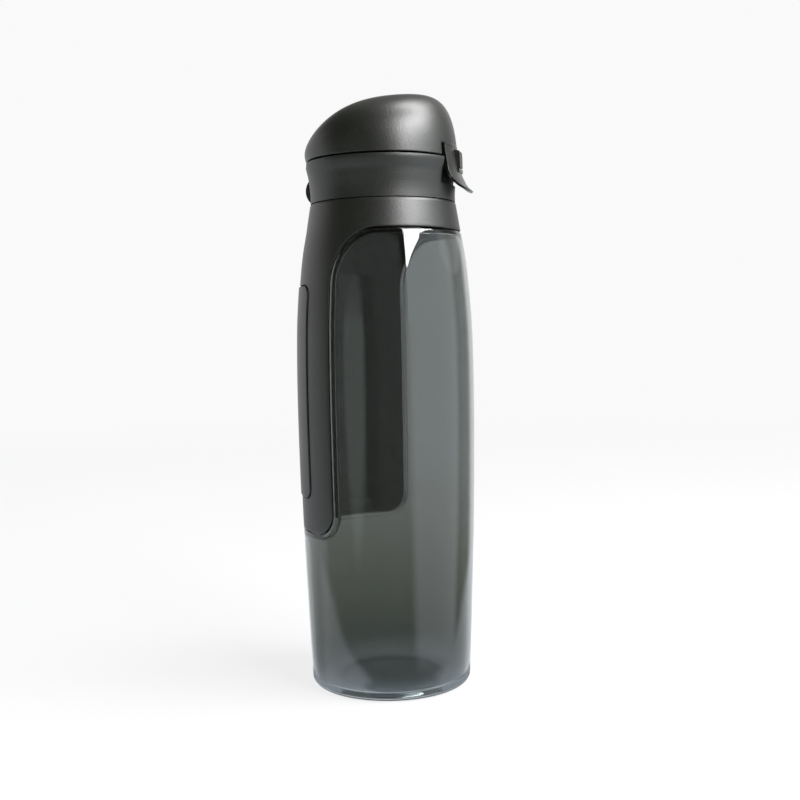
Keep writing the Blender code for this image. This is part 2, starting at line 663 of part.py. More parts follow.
def build_cap(parts, cutters, material, lid):
    """Screw cap: skirt, deck with the spout's hole, hinge ears, catch hook and strap eyelet."""
    skirt = CAP_BOTTOM_RADIUS - CAP_WALL
    deck_bottom = DECK_TOP - DECK_THICKNESS
    profile = [(0.0, DECK_TOP), (CAP_RADIUS - RIM_WIDTH, DECK_TOP), (CAP_RADIUS - RIM_WIDTH, CAP_TOP)]
    profile += cap_profile()
    profile += [(skirt, SHOULDER_HEIGHT + FIT_GAP), (skirt, deck_bottom), (0.0, deck_bottom)]
    cap = turned("cap_base", profile, parts, material)

    tall = (deck_bottom - CUT_OVERRUN, DECK_TOP + CUT_OVERRUN)
    spout_hole = rods("spout_hole", SPOUT_STEM + FIT_GAP, [tall], "Z", (SPOUT_X, 0.0, 0.0), cutters,
                      segments=36)
    seat_low = (SEAT_RADIUS - CUT_OVERRUN - CUT_OVERRUN, -SEAT_HALF, SEAT_BOTTOM)
    seat_high = (CAP_RADIUS + CUT_OVERRUN, SEAT_HALF, CAP_TOP + CUT_OVERRUN)
    tongue_seat = box("tongue_seat", seat_low, seat_high, cutters)
    core_span = [(SEAT_BOTTOM - CUT_OVERRUN, CAP_TOP + CUT_OVERRUN + CUT_OVERRUN)]
    keep = rods("tongue_seat_core", SEAT_RADIUS, core_span, "Z", (0.0, 0.0, 0.0), cutters,
                segments=TURN_STEPS)
    cut(tongue_seat, keep)

    hinge = (LID_HINGE_X, 0.0, LID_HINGE_Z)
    notch = rods("hinge_notch", LID_NOTCH_RADIUS, [(-LID_NOTCH_HALF, LID_NOTCH_HALF)], "Y", hinge,
                 cutters, segments=36)
    ear_spans = [(-LID_EAR_OUTER, -LID_EAR_INNER), (LID_EAR_INNER, LID_EAR_OUTER)]
    ears = rods("hinge_ears", LID_KNUCKLE_RADIUS, ear_spans, "Y", hinge, cutters)
    stems = []
    for number, (start, end) in enumerate(ear_spans):
        low = (LID_HINGE_X - LID_EAR_BACK, start, DECK_TOP - DECK_THICKNESS / 2)
        high = (LID_HINGE_X + LID_KNUCKLE_RADIUS, end, LID_HINGE_Z)
        stems.append(box(f"ear_stem_{number}", low, high, cutters))
    pin_reach = LID_EAR_OUTER + CUT_OVERRUN
    pin_bore = rods("lid_pin_bore", LID_PIN_RADIUS + FIT_GAP, [(-pin_reach, pin_reach)], "Y", hinge,
                    cutters, segments=16)

    low_reach = DOME_RADIUS + HOOK_LOW_REACH
    high_reach = DOME_RADIUS + HOOK_HIGH_REACH
    hook_outline = [(HOOK_ROOT, HOOK_BOTTOM), (low_reach, HOOK_BOTTOM),
                    (high_reach, HOOK_TOP - HOOK_CORNER), (high_reach - HOOK_CORNER, HOOK_TOP),
                    (HOOK_ROOT + HOOK_CORNER, HOOK_TOP), (HOOK_ROOT, HOOK_TOP - HOOK_CORNER)]
    hook = prism("catch_hook", hook_outline, -HOOK_HALF, HOOK_HALF, "Y", cutters)

    eyelet_x = EYELET_RADIUS - EYELET_REACH
    eyelet_spans = [(-EYELET_HALF, EYELET_HALF)]
    eyelet = rods("strap_eyelet", EYELET_RADIUS, eyelet_spans, "Y", (eyelet_x, 0.0, EYELET_HEIGHT),
                  cutters, segments=28)
    room_span = [(SHOULDER_HEIGHT - CUT_OVERRUN, deck_bottom)]
    thread_room = rods("thread_room", skirt + FIT_GAP, room_span, "Z", (0.0, 0.0, 0.0), cutters,
                       segments=TURN_STEPS)
    hole_x = EYELET_HOLE + EYELET_RIM - EYELET_REACH
    hole_span = [(-EYELET_HALF - CUT_OVERRUN, EYELET_HALF + CUT_OVERRUN)]
    strap_hole = rods("strap_hole", EYELET_HOLE, hole_span, "Y", (hole_x, 0.0, EYELET_HEIGHT), cutters,
                      segments=12)
    cut(eyelet, thread_room)
    for tool in (spout_hole, tongue_seat, keep, notch, ears, *stems, pin_bore, hook, eyelet,
                 thread_room, strap_hole):
        hide_cutter(tool).parent = lid
    cut(cap, spout_hole, tongue_seat, notch)
    join(cap, ears, *stems, hook, eyelet)
    cut(cap, pin_bore, strap_hole)
    cap.parent = lid
    return cap, pin_bore


def build_gasket(parts, material):
    """Flat silicone ring between the cap's deck and the lip of the neck."""
    outer = NECK_RADIUS - GASKET_INSET
    inner = outer - GASKET_WIDTH
    high = DECK_TOP - DECK_THICKNESS - FIT_GAP
    low = NECK_TOP + FIT_GAP
    return turned("neck_gasket", [(inner, high), (outer, high), (outer, low), (inner, low)], parts,
                  material, closed=True)


def build_spout(parts, material, lid):
    """Soft drinking spout, pushed through the deck and held by a bead under it."""
    deck_bottom = DECK_TOP - DECK_THICKNESS
    flange_low = DECK_TOP + FIT_GAP
    flange_high = flange_low + SPOUT_FLANGE_HEIGHT
    bead_high = deck_bottom - FIT_GAP
    bead_low = bead_high - SPOUT_BEAD_HEIGHT
    profile = [(SPOUT_BORE, SPOUT_TOP), (SPOUT_TOP_RADIUS, SPOUT_TOP),
               (SPOUT_TOP_RADIUS + SPOUT_LIP, SPOUT_TOP - SPOUT_LIP),
               (SPOUT_TOP_RADIUS + SPOUT_LIP, SPOUT_TOP - SPOUT_LIP * 3),
               (SPOUT_TOP_RADIUS, SPOUT_TOP - SPOUT_LIP * 4),
               (SPOUT_RADIUS, flange_high + SPOUT_LIP), (SPOUT_RADIUS + SPOUT_LIP, flange_high),
               (SPOUT_FLANGE, flange_high), (SPOUT_FLANGE, flange_low), (SPOUT_STEM, flange_low),
               (SPOUT_STEM, bead_high), (SPOUT_BEAD, bead_high), (SPOUT_STEM, bead_low),
               (SPOUT_BORE, bead_low)]
    spout = turned("drinking_spout", profile, parts, material, closed=True, steps=30)
    spout.location = (SPOUT_X, 0.0, 0.0)
    spout.parent = lid
    return spout


def build_lid_pin(parts, material, lid):
    """Steel pin of the dome's hinge, through both ears and the knuckle."""
    reach = LID_EAR_OUTER - LID_PIN_HEAD
    pin = rods("lid_hinge_pin", LID_PIN_RADIUS, [(-reach, reach)], "Y", (LID_HINGE_X, 0.0, LID_HINGE_Z),
               parts, segments=16, material=material)
    pin.parent = lid
    return pin


def roof_height(across):
    """Height of the dome's roof over its rim, at a place along the lid's axis."""
    share = across / DOME_RADIUS
    return DOME_HEIGHT * sum(factor * share ** power for power, factor in enumerate(ROOF_SHARES))


def build_dome(parts, cutters, material, lid, pin_bore):
    """Dome: a turned squircle whose roof is then tilted, with slots, knuckle and seal boss."""
    bm = bmesh.new()
    verts = []
    for angle in np.linspace(0.0, math.pi / 2, DOME_PROFILE_STEPS):
        radius = DOME_RADIUS * math.cos(angle) ** (2 / DOME_EXPONENT)
        rise = math.sin(angle) ** (2 / DOME_EXPONENT)
        verts.append(bm.verts.new((max(radius, 0.0), 0.0, rise)))
    verts[-1].co.x = 0.0
    for first, second in zip(verts, verts[1:]):
        bm.edges.new((first, second))
    bmesh.ops.spin(bm, geom=list(bm.verts) + list(bm.edges), cent=(0, 0, 0), axis=(0, 0, 1),
                   angle=math.tau, steps=TURN_STEPS, use_merge=True)
    bmesh.ops.remove_doubles(bm, verts=bm.verts, dist=FIT_GAP / TURN_STEPS)
    for vert in bm.verts:
        rise = vert.co.z
        vert.co.z = DOME_BOTTOM + rise * roof_height(vert.co.x)
        lean = vert.co.x / DOME_RADIUS
        change = DOME_FRONT_DRAFT if lean > 0.0 else DOME_BACK_SWELL
        vert.co.x *= 1.0 - change * rise * lean
        vert.co.y *= 1.0 - change * rise * lean
    dome = link_mesh("dome_lid", bm, parts, material)
    if dome.data.polygons[0].normal.dot(dome.data.polygons[0].center - Vector((0, 0, DOME_BOTTOM))) < 0:
        dome.data.flip_normals()
    shell = dome.modifiers.new("wall", "SOLIDIFY")
    shell.thickness = DOME_WALL
    shell.offset = -1.0
    shell.use_even_offset = True
    shell.use_quality_normals = True

    hinge = (LID_HINGE_X, 0.0, LID_HINGE_Z)
    low = (DOME_RADIUS / 2, -TONGUE_HALF - TONGUE_SLIT, DOME_BOTTOM - CUT_OVERRUN)
    high = (DOME_RADIUS + CUT_OVERRUN, TONGUE_HALF + TONGUE_SLIT, TONGUE_TOP + FIT_GAP)
    tongue_slot = box("tongue_slot", low, high, cutters)
    low = (-DOME_RADIUS - CUT_OVERRUN, -LID_EAR_OUTER - FIT_GAP, DOME_BOTTOM - CUT_OVERRUN)
    high = (LID_HINGE_X + LID_KNUCKLE_RADIUS, LID_EAR_OUTER + FIT_GAP, LID_HINGE_Z + DOME_SLOT_RISE)
    ear_slot = box("ear_slot", low, high, cutters)
    knuckle = rods("dome_knuckle", LID_KNUCKLE_RADIUS, [(-LID_KNUCKLE_HALF, LID_KNUCKLE_HALF)], "Y",
                   hinge, cutters)
    low = (LID_HINGE_X - DOME_WEB_BACK, -LID_KNUCKLE_HALF, LID_HINGE_Z)
    high = (LID_HINGE_X + DOME_WEB_FRONT, LID_KNUCKLE_HALF, LID_HINGE_Z + DOME_WEB_RISE)
    web = box("dome_web", low, high, cutters)
    boss_low = SPOUT_TOP + FIT_GAP + SEAL_THICKNESS - BOSS_DEPTH + FIT_GAP
    boss_high = DOME_BOTTOM + roof_height(SPOUT_X) - DOME_WALL + ROOF_BITE
    boss = rods("seal_boss", BOSS_RADIUS, [(boss_low, boss_high)], "Z", (SPOUT_X, 0.0, 0.0), cutters)
    for tool in (tongue_slot, ear_slot, knuckle, web, boss):
        hide_cutter(tool).parent = lid
    cut(dome, tongue_slot, ear_slot)
    join(dome, knuckle, web, boss)
    cut(dome, pin_bore)
    set_origin(dome, hinge)
    dome.parent = lid
    return dome


def build_seal(parts, material, lid):
    """Silicone seal on the dome's boss, closing the spout with a short nub."""
    low = SPOUT_TOP + FIT_GAP
    high = low + SEAL_THICKNESS
    socket = BOSS_RADIUS + FIT_GAP
    floor = high - BOSS_DEPTH
    profile = [(0.0, floor), (socket, floor), (socket, high), (SEAL_RADIUS - SEAL_NUB, high),
               (SEAL_RADIUS, high - SEAL_NUB), (SEAL_RADIUS, low), (SEAL_NUB_RADIUS, low),
               (SEAL_NUB_RADIUS - SEAL_NUB / 2, low - SEAL_NUB), (0.0, low - SEAL_NUB)]
    seal = turned("spout_seal", profile, parts, material, steps=30)
    seal.location = (SPOUT_X, 0.0, 0.0)
    seal.parent = lid
    return seal


def build_tongue(parts, cutters, material, lid):
    """Latch tongue: curved with the dome, flared to a thumb lip, with a window for the hook."""
    bottom = TONGUE_TOP - TONGUE_LENGTH
    drop = TONGUE_LENGTH - TONGUE_STRAIGHT
    side = [(TONGUE_HALF, TONGUE_TOP)]
    curve = [(TONGUE_HALF * math.cos(a), bottom + drop * (1 + math.sin(a)))
             for a in np.radians(np.linspace(0, -90, 8))]
    right = side + curve
    outline = right + [(-across, up) for across, up in reversed(right[:-1])]
    levels = [TONGUE_TOP - share * TONGUE_LENGTH for share, _ in TONGUE_SHARES[1:-1]]
    tongue = wrapped("latch_tongue", outline, -TONGUE_THICKNESS, 0.0, on_tongue, levels, DOME_RADIUS,
                     0.0, parts, material)
    low = (DOME_RADIUS / 2, -WINDOW_HALF, WINDOW_BOTTOM)
    high = (DOME_RADIUS + TONGUE_FLARE, WINDOW_HALF, WINDOW_BOTTOM + WINDOW_HEIGHT)
    window = box("tongue_window", low, high, cutters)
    inside = tongue_point(WINDOW_BOTTOM - TONGUE_BAR_HEIGHT) - TONGUE_THICKNESS / 2
    low = (inside, -WINDOW_HALF, WINDOW_BOTTOM - TONGUE_BAR_HEIGHT)
    high = (DOME_RADIUS + TONGUE_BAR_REACH, WINDOW_HALF, WINDOW_BOTTOM)
    bar = box("tongue_bar", low, high, cutters)
    for tool in (window, bar):
        hide_cutter(tool).parent = lid
    join(tongue, bar)
    cut(tongue, window)
    set_origin(tongue, (tongue_point(TONGUE_TOP) - TONGUE_THICKNESS / 2, 0.0, TONGUE_TOP))
    tongue.parent = lid
    return tongue


def smooth(piece):
    """Round faces shade smooth, and true corners stay sharp."""
    if piece.data.polygons:
        piece.data.shade_smooth()
        piece.data.set_sharp_from_angle(angle=SMOOTH_ANGLE)


def main():
    """Build every piece and put it in the collection named for the bottle."""
    clear_scene()
    parts = make_collection("sports_bottle")
    cutters = make_collection("cutters")
    clear = make_material("smoke_clear", SMOKE, 0.08, transmission=0.8)
    shell_plastic = make_material("shell_plastic", CHARCOAL, 0.45)
    door_plastic = make_material("door_plastic", CHARCOAL, 0.45)
    cap_plastic = make_material("cap_plastic", CHARCOAL, 0.45)
    dome_plastic = make_material("dome_plastic", CHARCOAL, 0.42)
    tongue_plastic = make_material("tongue_plastic", CHARCOAL, 0.42)
    silicone = make_material("gasket_silicone", SOFT_GREY, 0.6)
    seal_silicone = make_material("seal_silicone", SOFT_GREY, 0.6)
    spout_plastic = make_material("spout_plastic", SOFT_GREY, 0.5)
    pin_steel = make_material("pin_steel", STEEL, 0.3, metallic=1.0)
    door_pin_steel = make_material("door_pin_steel", STEEL, 0.3, metallic=1.0)

    lid = bpy.data.objects.new("lid_axis", None)
    lid.rotation_euler = (0.0, 0.0, LID_TURN)
    parts.objects.link(lid)

    build_bottle(parts, cutters, clear)
    _, centre, door_bore = build_shell(parts, cutters, shell_plastic)
    build_door(parts, cutters, door_plastic, centre, door_bore)
    build_door_pin(parts, door_pin_steel, centre)
    _, lid_bore = build_cap(parts, cutters, cap_plastic, lid)
    build_gasket(parts, silicone)
    build_spout(parts, spout_plastic, lid)
    build_lid_pin(parts, pin_steel, lid)
    build_dome(parts, cutters, dome_plastic, lid, lid_bore)
    build_seal(parts, seal_silicone, lid)
    build_tongue(parts, cutters, tongue_plastic, lid)
    for piece in parts.objects:
        if piece.type == "MESH":
            smooth(piece)


main()
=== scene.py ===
"""Sports bottle with a flip top lid and a card compartment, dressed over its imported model.

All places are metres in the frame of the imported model: Z is the bottle's axis, the foot stands on
Z = 0, the compartment's door faces -X, and the latch points 11.5 degrees from +X towards +Y.
"""

import math

import bmesh
import bpy
import numpy as np
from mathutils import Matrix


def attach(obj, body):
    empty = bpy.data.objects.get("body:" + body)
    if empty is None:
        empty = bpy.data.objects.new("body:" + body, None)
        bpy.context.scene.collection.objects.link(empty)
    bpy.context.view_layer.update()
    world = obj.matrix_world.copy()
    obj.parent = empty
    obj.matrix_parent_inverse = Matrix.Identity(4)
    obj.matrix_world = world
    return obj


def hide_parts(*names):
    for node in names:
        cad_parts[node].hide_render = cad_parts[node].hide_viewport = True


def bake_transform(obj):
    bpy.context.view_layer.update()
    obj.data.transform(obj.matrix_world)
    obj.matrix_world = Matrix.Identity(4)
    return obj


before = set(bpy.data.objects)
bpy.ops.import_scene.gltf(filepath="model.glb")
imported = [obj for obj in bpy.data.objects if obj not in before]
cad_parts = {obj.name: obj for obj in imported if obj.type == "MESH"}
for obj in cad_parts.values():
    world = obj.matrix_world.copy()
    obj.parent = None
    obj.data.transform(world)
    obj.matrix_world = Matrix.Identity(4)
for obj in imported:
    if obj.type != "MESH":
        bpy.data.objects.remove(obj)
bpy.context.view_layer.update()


# Camera, floor and light
# A plain white table, a bright window to the right of the camera and a dim room behind the camera.
# The camera stands at the height of the bottle's middle and looks a little down, slightly rolled.
EYE_TURN, EYE_REACH, EYE_HEIGHT = -64.5, 0.5, 0.1595
EYE_DROP, EYE_SIDE, EYE_ROLL = 3.63, 0.0121, -1.05
PALE = (0.95, 0.95, 0.955, 1.0)
LIGHT_LEVEL = 0.13
WINDOW_TURN, WINDOW_RISE, WINDOW_ASIDE = -15.0, 28.5, 5.4
SHEET_REACH = 1.45


def place_object(name, data):
    """A new object at the origin, linked to the scene."""
    placed = bpy.data.objects.new(name, data)
    bpy.context.scene.collection.objects.link(placed)
    return placed


def heading(turn, rise=0.0):
    """Direction at a turn and a rise in degrees."""
    turn, rise = math.radians(turn), math.radians(rise)
    flat = math.cos(rise)
    return np.array((flat * math.cos(turn), flat * math.sin(turn), math.sin(rise)))


def feed(tree, node, values):
    """Give a node's sockets their plain values, or link them to the sockets of other nodes."""
    for socket, value in values.items():
        if isinstance(value, bpy.types.NodeSocket):
            tree.links.new(value, node.inputs[socket])
        else:
            node.inputs[socket].default_value = value


def add_node(tree, kind, values=None, output=None, **settings):
    """A new node with its settings and the values of its sockets. Returns one of its outputs: the
    one named, or else the first in use."""
    node = tree.nodes.new("ShaderNode" + kind)
    for setting, value in settings.items():
        setattr(node, setting, value)
    feed(tree, node, values or {})
    return node.outputs[output] if output else next(out for out in node.outputs if out.enabled)


def smooth_step(tree, value, first, last, low=0.0, high=1.0):
    """A smooth step from low at the first value to high at the last."""
    return add_node(tree, "MapRange", {"Value": value, "From Min": first, "From Max": last,
                                       "To Min": low, "To Max": high},
                    interpolation_type="SMOOTHSTEP")


def new_paint(name):
    """A new material, with its node tree and its shader."""
    paint = bpy.data.materials.new(name)
    paint.use_nodes = True
    return paint, paint.node_tree, paint.node_tree.nodes["Principled BSDF"]


def studio_sheet(name, corners, paint):
    """A flat sheet of the studio between corners."""
    mesh = bpy.data.meshes.new(name)
    mesh.from_pydata(corners.tolist(), [], [tuple(range(len(corners)))])
    mesh.materials.append(paint)
    sheet = place_object(name, mesh)
    return sheet


def glowing_paint(name, glow, gloss):
    """A black paint that gives an even light of its own."""
    paint, tree, shader = new_paint(name)
    feed(tree, shader, {"Base Color": (0.0, 0.0, 0.0, 1.0), "Specular IOR Level": gloss,
                        "Emission Color": glow, "Emission Strength": 1.0})
    return paint


def soft_light(name, turn, rise, distance, width, height, power):
    """A flat window of light that stands at a turn and a rise from the bottle, and faces it."""
    data = bpy.data.lights.new(name, "AREA")
    data.shape = "RECTANGLE"
    data.size, data.size_y, data.energy = width, height, power
    light = place_object(name, data)
    light.location = (0.0, 0.0, LIGHT_LEVEL) + distance * heading(turn, rise)
    light.rotation_euler = (math.radians(90.0 - rise), 0.0, math.radians(turn + 90.0))
    return light


camera_data = bpy.data.cameras.new("camera")
camera_data.lens, camera_data.sensor_width, camera_data.clip_start = 49.7, 36.0, 0.01
camera = place_object("camera", camera_data)
camera.location = (0.0, 0.0, EYE_HEIGHT) + EYE_REACH * heading(EYE_TURN)
camera.rotation_euler = (math.radians(90.0 - EYE_DROP), 0.0,
                         math.radians(EYE_TURN + 90.0) - EYE_SIDE)
camera.rotation_euler.rotate_axis("Z", math.radians(EYE_ROLL))
bpy.context.scene.camera = camera
bpy.context.scene.view_settings.view_transform = "Standard"

table_paint, tree, shader = new_paint("white_table")
away = add_node(tree, "VectorMath", {0: add_node(tree, "TexCoord", output="Object")},
                operation="LENGTH")
table_glow, table_tone = (smooth_step(tree, away, 0.25, 1.60, near, far)
                          for near, far in ((0.86, 1.0), (0.10, 0.0)))
feed(tree, shader, {"Roughness": 0.9, "Specular IOR Level": 0.0, "Emission Color": PALE,
                    "Emission Strength": table_glow, "Base Color": table_tone})
floor = studio_sheet("floor", 4.0 * np.array(((-1, -1, 0), (1, -1, 0), (1, 1, 0), (-1, 1, 0))),
                     table_paint)
floor.visible_glossy = False

# A small dim card under the foot, seen only in the foot's gloss, paints the table's shade there.
shade_card_edge = [0.045 * heading(turn) + (0.0, 0.0, 0.0002) for turn in np.arange(64) * 360.0 / 64]
card = studio_sheet("foot_shade_card", np.array(shade_card_edge),
                    glowing_paint("painted_table_shade", (0.30, 0.33, 0.36, 1.0), 0.5))
card.visible_camera = card.visible_diffuse = card.visible_transmission = card.visible_shadow = False

window = soft_light("window", WINDOW_TURN + WINDOW_ASIDE, WINDOW_RISE, 1.6, 1.40, 0.98, 98.0)
window.visible_transmission = False
soft_light("skylight", 20.0, 62.0, 1.5, 0.50, 0.80, 24.0)
sky_data = bpy.data.lights.new("sky", "SUN")
sky_data.angle, sky_data.energy = math.radians(100.0), 0.5
sky = place_object("sky", sky_data)
sky.rotation_euler = (math.radians(-25.0), math.radians(20.0), 0.0)

# Two sheets hang before the window and leave a wedge of it free, as a drawn curtain would. The
# right one is as pale as the wall, the left one as dark as the room.
sheet_out, sheet_right = heading(WINDOW_TURN, WINDOW_RISE), heading(WINDOW_TURN + 90.0)
sheet_up = np.cross(sheet_out, sheet_right)
for name, glow, corners in (
        ("right_flag", (1.08, 1.15, 1.22, 1.0),
         ((-0.54, -0.58), (-0.52, -0.30), (-0.14, -0.16), (0.22, 0.00), (0.45, 0.13),
          (0.95, 0.17), (0.95, -0.58))),
        ("left_flag", (0.10, 0.11, 0.09, 1.0),
         ((-0.62, -0.58), (-0.53, -0.43), (-0.43, 0.15), (-0.41, 0.53), (-0.62, 0.53)))):
    across, up = np.array(corners).T[..., None]
    hung = studio_sheet(name, (0.0, 0.0, LIGHT_LEVEL) + SHEET_REACH * sheet_out
                        + across * sheet_right + up * sheet_up, glowing_paint(name, glow, 0.0))
    hung.visible_camera = False

# The camera sees an even pale backdrop, also through the bottle. Reflections see a dim room with a
# bright backdrop behind the bottle and a pale wall on the window's side, down to the table's edge.
world = bpy.data.worlds.new("studio")
world.use_nodes = True
bpy.context.scene.world = world
studio = world.node_tree
towards = add_node(studio, "TexCoord", output="Generated")
rise = add_node(studio, "SeparateXYZ", {0: towards}, output="Z")


def turned_to(turn, first, last, fall=0.0):
    """How far a direction turns towards one place of the room: a smooth step over the cosine of the
    angle between them, plus fall times the direction's drop."""
    cosine = add_node(studio, "VectorMath", {0: towards, 1: heading(turn) - (0.0, 0.0, fall)},
                      operation="DOT_PRODUCT")
    return smooth_step(studio, cosine, first, last)


def both(first, second):
    """The product of two shares."""
    return add_node(studio, "Math", {0: first, 1: second}, operation="MULTIPLY")


table = both(turned_to(129.0, 2.08, 2.32, fall=7.0), turned_to(165.0, 0.95, 0.80))
low_wall = smooth_step(studio, rise, 0.24, 0.06)
room = (0.100, 0.110, 0.086, 1.0)
for share, colour in (
        (both(turned_to(137.0, 0.30, 0.60), smooth_step(studio, rise, 0.62, 0.30)),
         (0.98, 0.98, 1.0, 1.0)),
        (both(turned_to(-154.5, 0.985, 0.998), low_wall), (1.30, 1.42, 1.30, 1.0)),
        (both(turned_to(-106.0, 0.955, 0.985), low_wall), (0.55, 0.63, 0.55, 1.0)),
        (both(turned_to(3.5, 0.72, 0.86), smooth_step(studio, rise, -0.41, -0.345)),
         (1.08, 1.15, 1.22, 1.0)),
        (both(turned_to(165.0, 0.72, 0.95), smooth_step(studio, rise, -0.10, -0.25)),
         (0.50, 0.52, 0.56, 1.0)),
        (table, (1.00, 1.06, 1.13, 1.0)),
        (both(table, smooth_step(studio, rise, -0.34, -0.42)), (1.90, 2.05, 2.20, 1.0)),
        (smooth_step(studio, rise, -0.60, -0.70), (0.06, 0.065, 0.05, 1.0))):
    room = add_node(studio, "Mix", {"Factor": share, "A": room, "B": colour}, data_type="RGBA")
seen = add_node(studio, "LightPath").node.outputs
backdrop = studio.nodes["Background"]
feed(studio, backdrop, {"Color": PALE})
chosen = add_node(studio, "MixShader", {
    "Fac": add_node(studio, "Math", {0: seen["Is Camera Ray"], 1: seen["Is Transmission Ray"]},
                    operation="MAXIMUM"),
    1: add_node(studio, "Background", {"Color": room}), 2: backdrop.outputs["Background"]})
feed(studio, studio.nodes["World Output"], {"Surface": chosen})


# Clear bottle
# Blow moulded copolyester, smoke grey and clear all through. Its side is stepped in where the dark
# shell lies flush, and pressed in behind the door for the compartment. The neck carries a thread.
MM = 0.001
BODY_RADIUS = 0.03965
BODY_HEIGHT = 0.2155
BODY_FORM = np.array((
    (0.0209, 0.9092), (0.0835, 0.9269), (0.1856, 0.9483), (0.3016, 0.9718), (0.4362, 0.9899),
    (0.5940, 1.0000), (0.6914, 0.9962), (0.7610, 0.9846), (0.8167, 0.9634), (0.8631, 0.9407),
    (0.9049, 0.9105), (0.9420, 0.8726), (0.9675, 0.8499), (1.0000, 0.8197),
))
SHELL_HALF = math.radians(77) * BODY_RADIUS
SHELL_LOW = BODY_HEIGHT * 0.3313
SHELL_CORNER = 10.0 * MM
SHELL_FILLET = 24.0 * MM
COLLAR_LOW = BODY_HEIGHT * 0.9420
FOOT_COLUMNS, CORNER_COLUMNS, SIDE_ROWS, FILLET_COLUMNS, BACK_COLUMNS = 34, 10, 72, 14, 34
UNDER_ROWS = 26
WALL = 2.0 * MM
SEAT = 2.9 * MM
FOOT_CORNER = 3.4 * MM
FLOOR = 3.6 * MM
INNER_CORNER = 1.6 * MM
STEP, STEP_EDGE = 0.6 * MM, 0.7 * MM
INNER_STEP, INNER_STEP_EDGE = 2.3 * MM, 0.9 * MM
POCKET = (20.0 * MM, 78.0 * MM, 183.4 * MM)
INNER_POCKET = (18.0 * MM, 76.0 * MM, 185.4 * MM)
PUNT = np.array(((24.0, 0.0), (23.6, 0.05), (23.2, 0.35), (22.6, 1.2), (22.0, 1.6), (21.0, 1.8),
                 (16.0, 1.8), (8.0, 1.8), (0.0, 1.8))) * MM
NECK = 28.4 * MM
BORE = 26.2 * MM
THREAD_PITCH, THREAD_START = 4.0 * MM, 0.1
RIDGE_HALF, RIDGE_FADE = 0.28 * THREAD_PITCH, 6
NECK_THREAD = (209.0 * MM, 225.5 * MM, 1.1 * MM, 3.0)


def smooth_curve(places, knots, values):
    """A curve through (knots, values). At a knot its slope is the mean of the chords on both sides,
    and between knots it is the cubic Hermite blend of the two values and the two slopes."""
    places = np.clip(places, knots[0], knots[-1])
    chords = np.diff(values) / np.diff(knots)
    slopes = np.concatenate((chords[:1], (chords[1:] + chords[:-1]) / 2, chords[-1:]))
    left = np.clip(np.searchsorted(knots, places, side="right") - 1, 0, len(knots) - 2)
    width = knots[left + 1] - knots[left]
    t = (places - knots[left]) / width
    return (values[left] * (2 * t**3 - 3 * t**2 + 1) + values[left + 1] * (3 * t**2 - 2 * t**3)
            + width * (slopes[left] * (t**3 - 2 * t**2 + t) + slopes[left + 1] * (t**3 - t**2)))


def body_reach(height):
    """Radius of the outer form that bottle, shell and collar share, at each height."""
    return BODY_RADIUS * smooth_curve(height / BODY_HEIGHT, *BODY_FORM.T)


def gather(*coordinates):
    """Points from their separate coordinates, each a grid, a list or one value for all."""
    return np.stack(np.broadcast_arrays(*coordinates), axis=-1)


def round_axis(reach, turn, height):
    """Points at a reach from the Z axis, a turn about it and a height."""
    return gather(reach * np.cos(turn), reach * np.sin(turn), height)


def wrap(flat, depth):
    """Bend (arc length, height) points round the bottle: the turn is arc length over the bottle's
    radius, counted from -X, and the radius is the outer form at that height plus the depth."""
    return round_axis(body_reach(flat[..., 1]) + depth, math.pi + flat[..., 0] / BODY_RADIUS,
                      flat[..., 1])


def arc_points(across, up, radius, start, end, steps):
    """Points of a circle's arc between two angles in degrees: centre plus radius times cosine and
    sine of the angle."""
    angle = np.radians(np.linspace(start, end, steps + 1))
    return gather(across + radius * np.cos(angle), up + radius * np.sin(angle))


def ruled(first, second, steps):
    """Even steps on the straight line from a point, or from each point of a curve, to its mate."""
    return np.linspace(first, second, steps + 1)


def seam_line(grow):
    """Right half of the shell's edge, moved outwards by grow, in four runs that share their ends:
    level foot with its corner, upright side, fillet, and the level run under the collar."""
    foot, side, head = SHELL_LOW - grow, SHELL_HALF + grow, COLLAR_LOW - grow
    knee, bend = SHELL_LOW + SHELL_CORNER, COLLAR_LOW - SHELL_FILLET
    near, far = SHELL_HALF - SHELL_CORNER, SHELL_HALF + SHELL_FILLET
    return (
        np.concatenate((ruled((0.0, foot), (near, foot), FOOT_COLUMNS),
                        arc_points(near, knee, SHELL_CORNER + grow, -90, 0, CORNER_COLUMNS)[1:])),
        ruled((side, knee), (side, bend), SIDE_ROWS),
        arc_points(far, bend, SHELL_FILLET - grow, 180, 90, FILLET_COLUMNS),
        ruled((far, head), (math.pi * BODY_RADIUS, head), BACK_COLUMNS))


def seam_strip(steps):
    """Strip along the whole edge for a list of (grow, depth) steps: one row of points for each."""
    rows = []
    for grow, depth in steps:
        foot, *others = seam_line(grow)
        rows.append(wrap(np.concatenate((foot, *[run[1:] for run in others])), depth))
    return np.stack(rows)


def inside_seam(seam, hole):
    """Patches between a hole and the shell's edge and up to the collar, as flat points, with the
    line of points along their top. Straight lines join the hole's foot, side and top to the
    edge."""
    foot, side, fillet, back = seam
    head = gather(foot[:, 0], fillet[-1, 1])
    slant = ruled(hole[2][-1], head[-1], FILLET_COLUMNS)
    patches = [ruled(start, end, FILLET_COLUMNS)
               for start, end in zip((*hole, slant), (foot, side, head, fillet))]
    beside = ruled(head[-1], fillet[-1], FILLET_COLUMNS)
    return patches, np.concatenate((head, beside[1:], back[1:]))


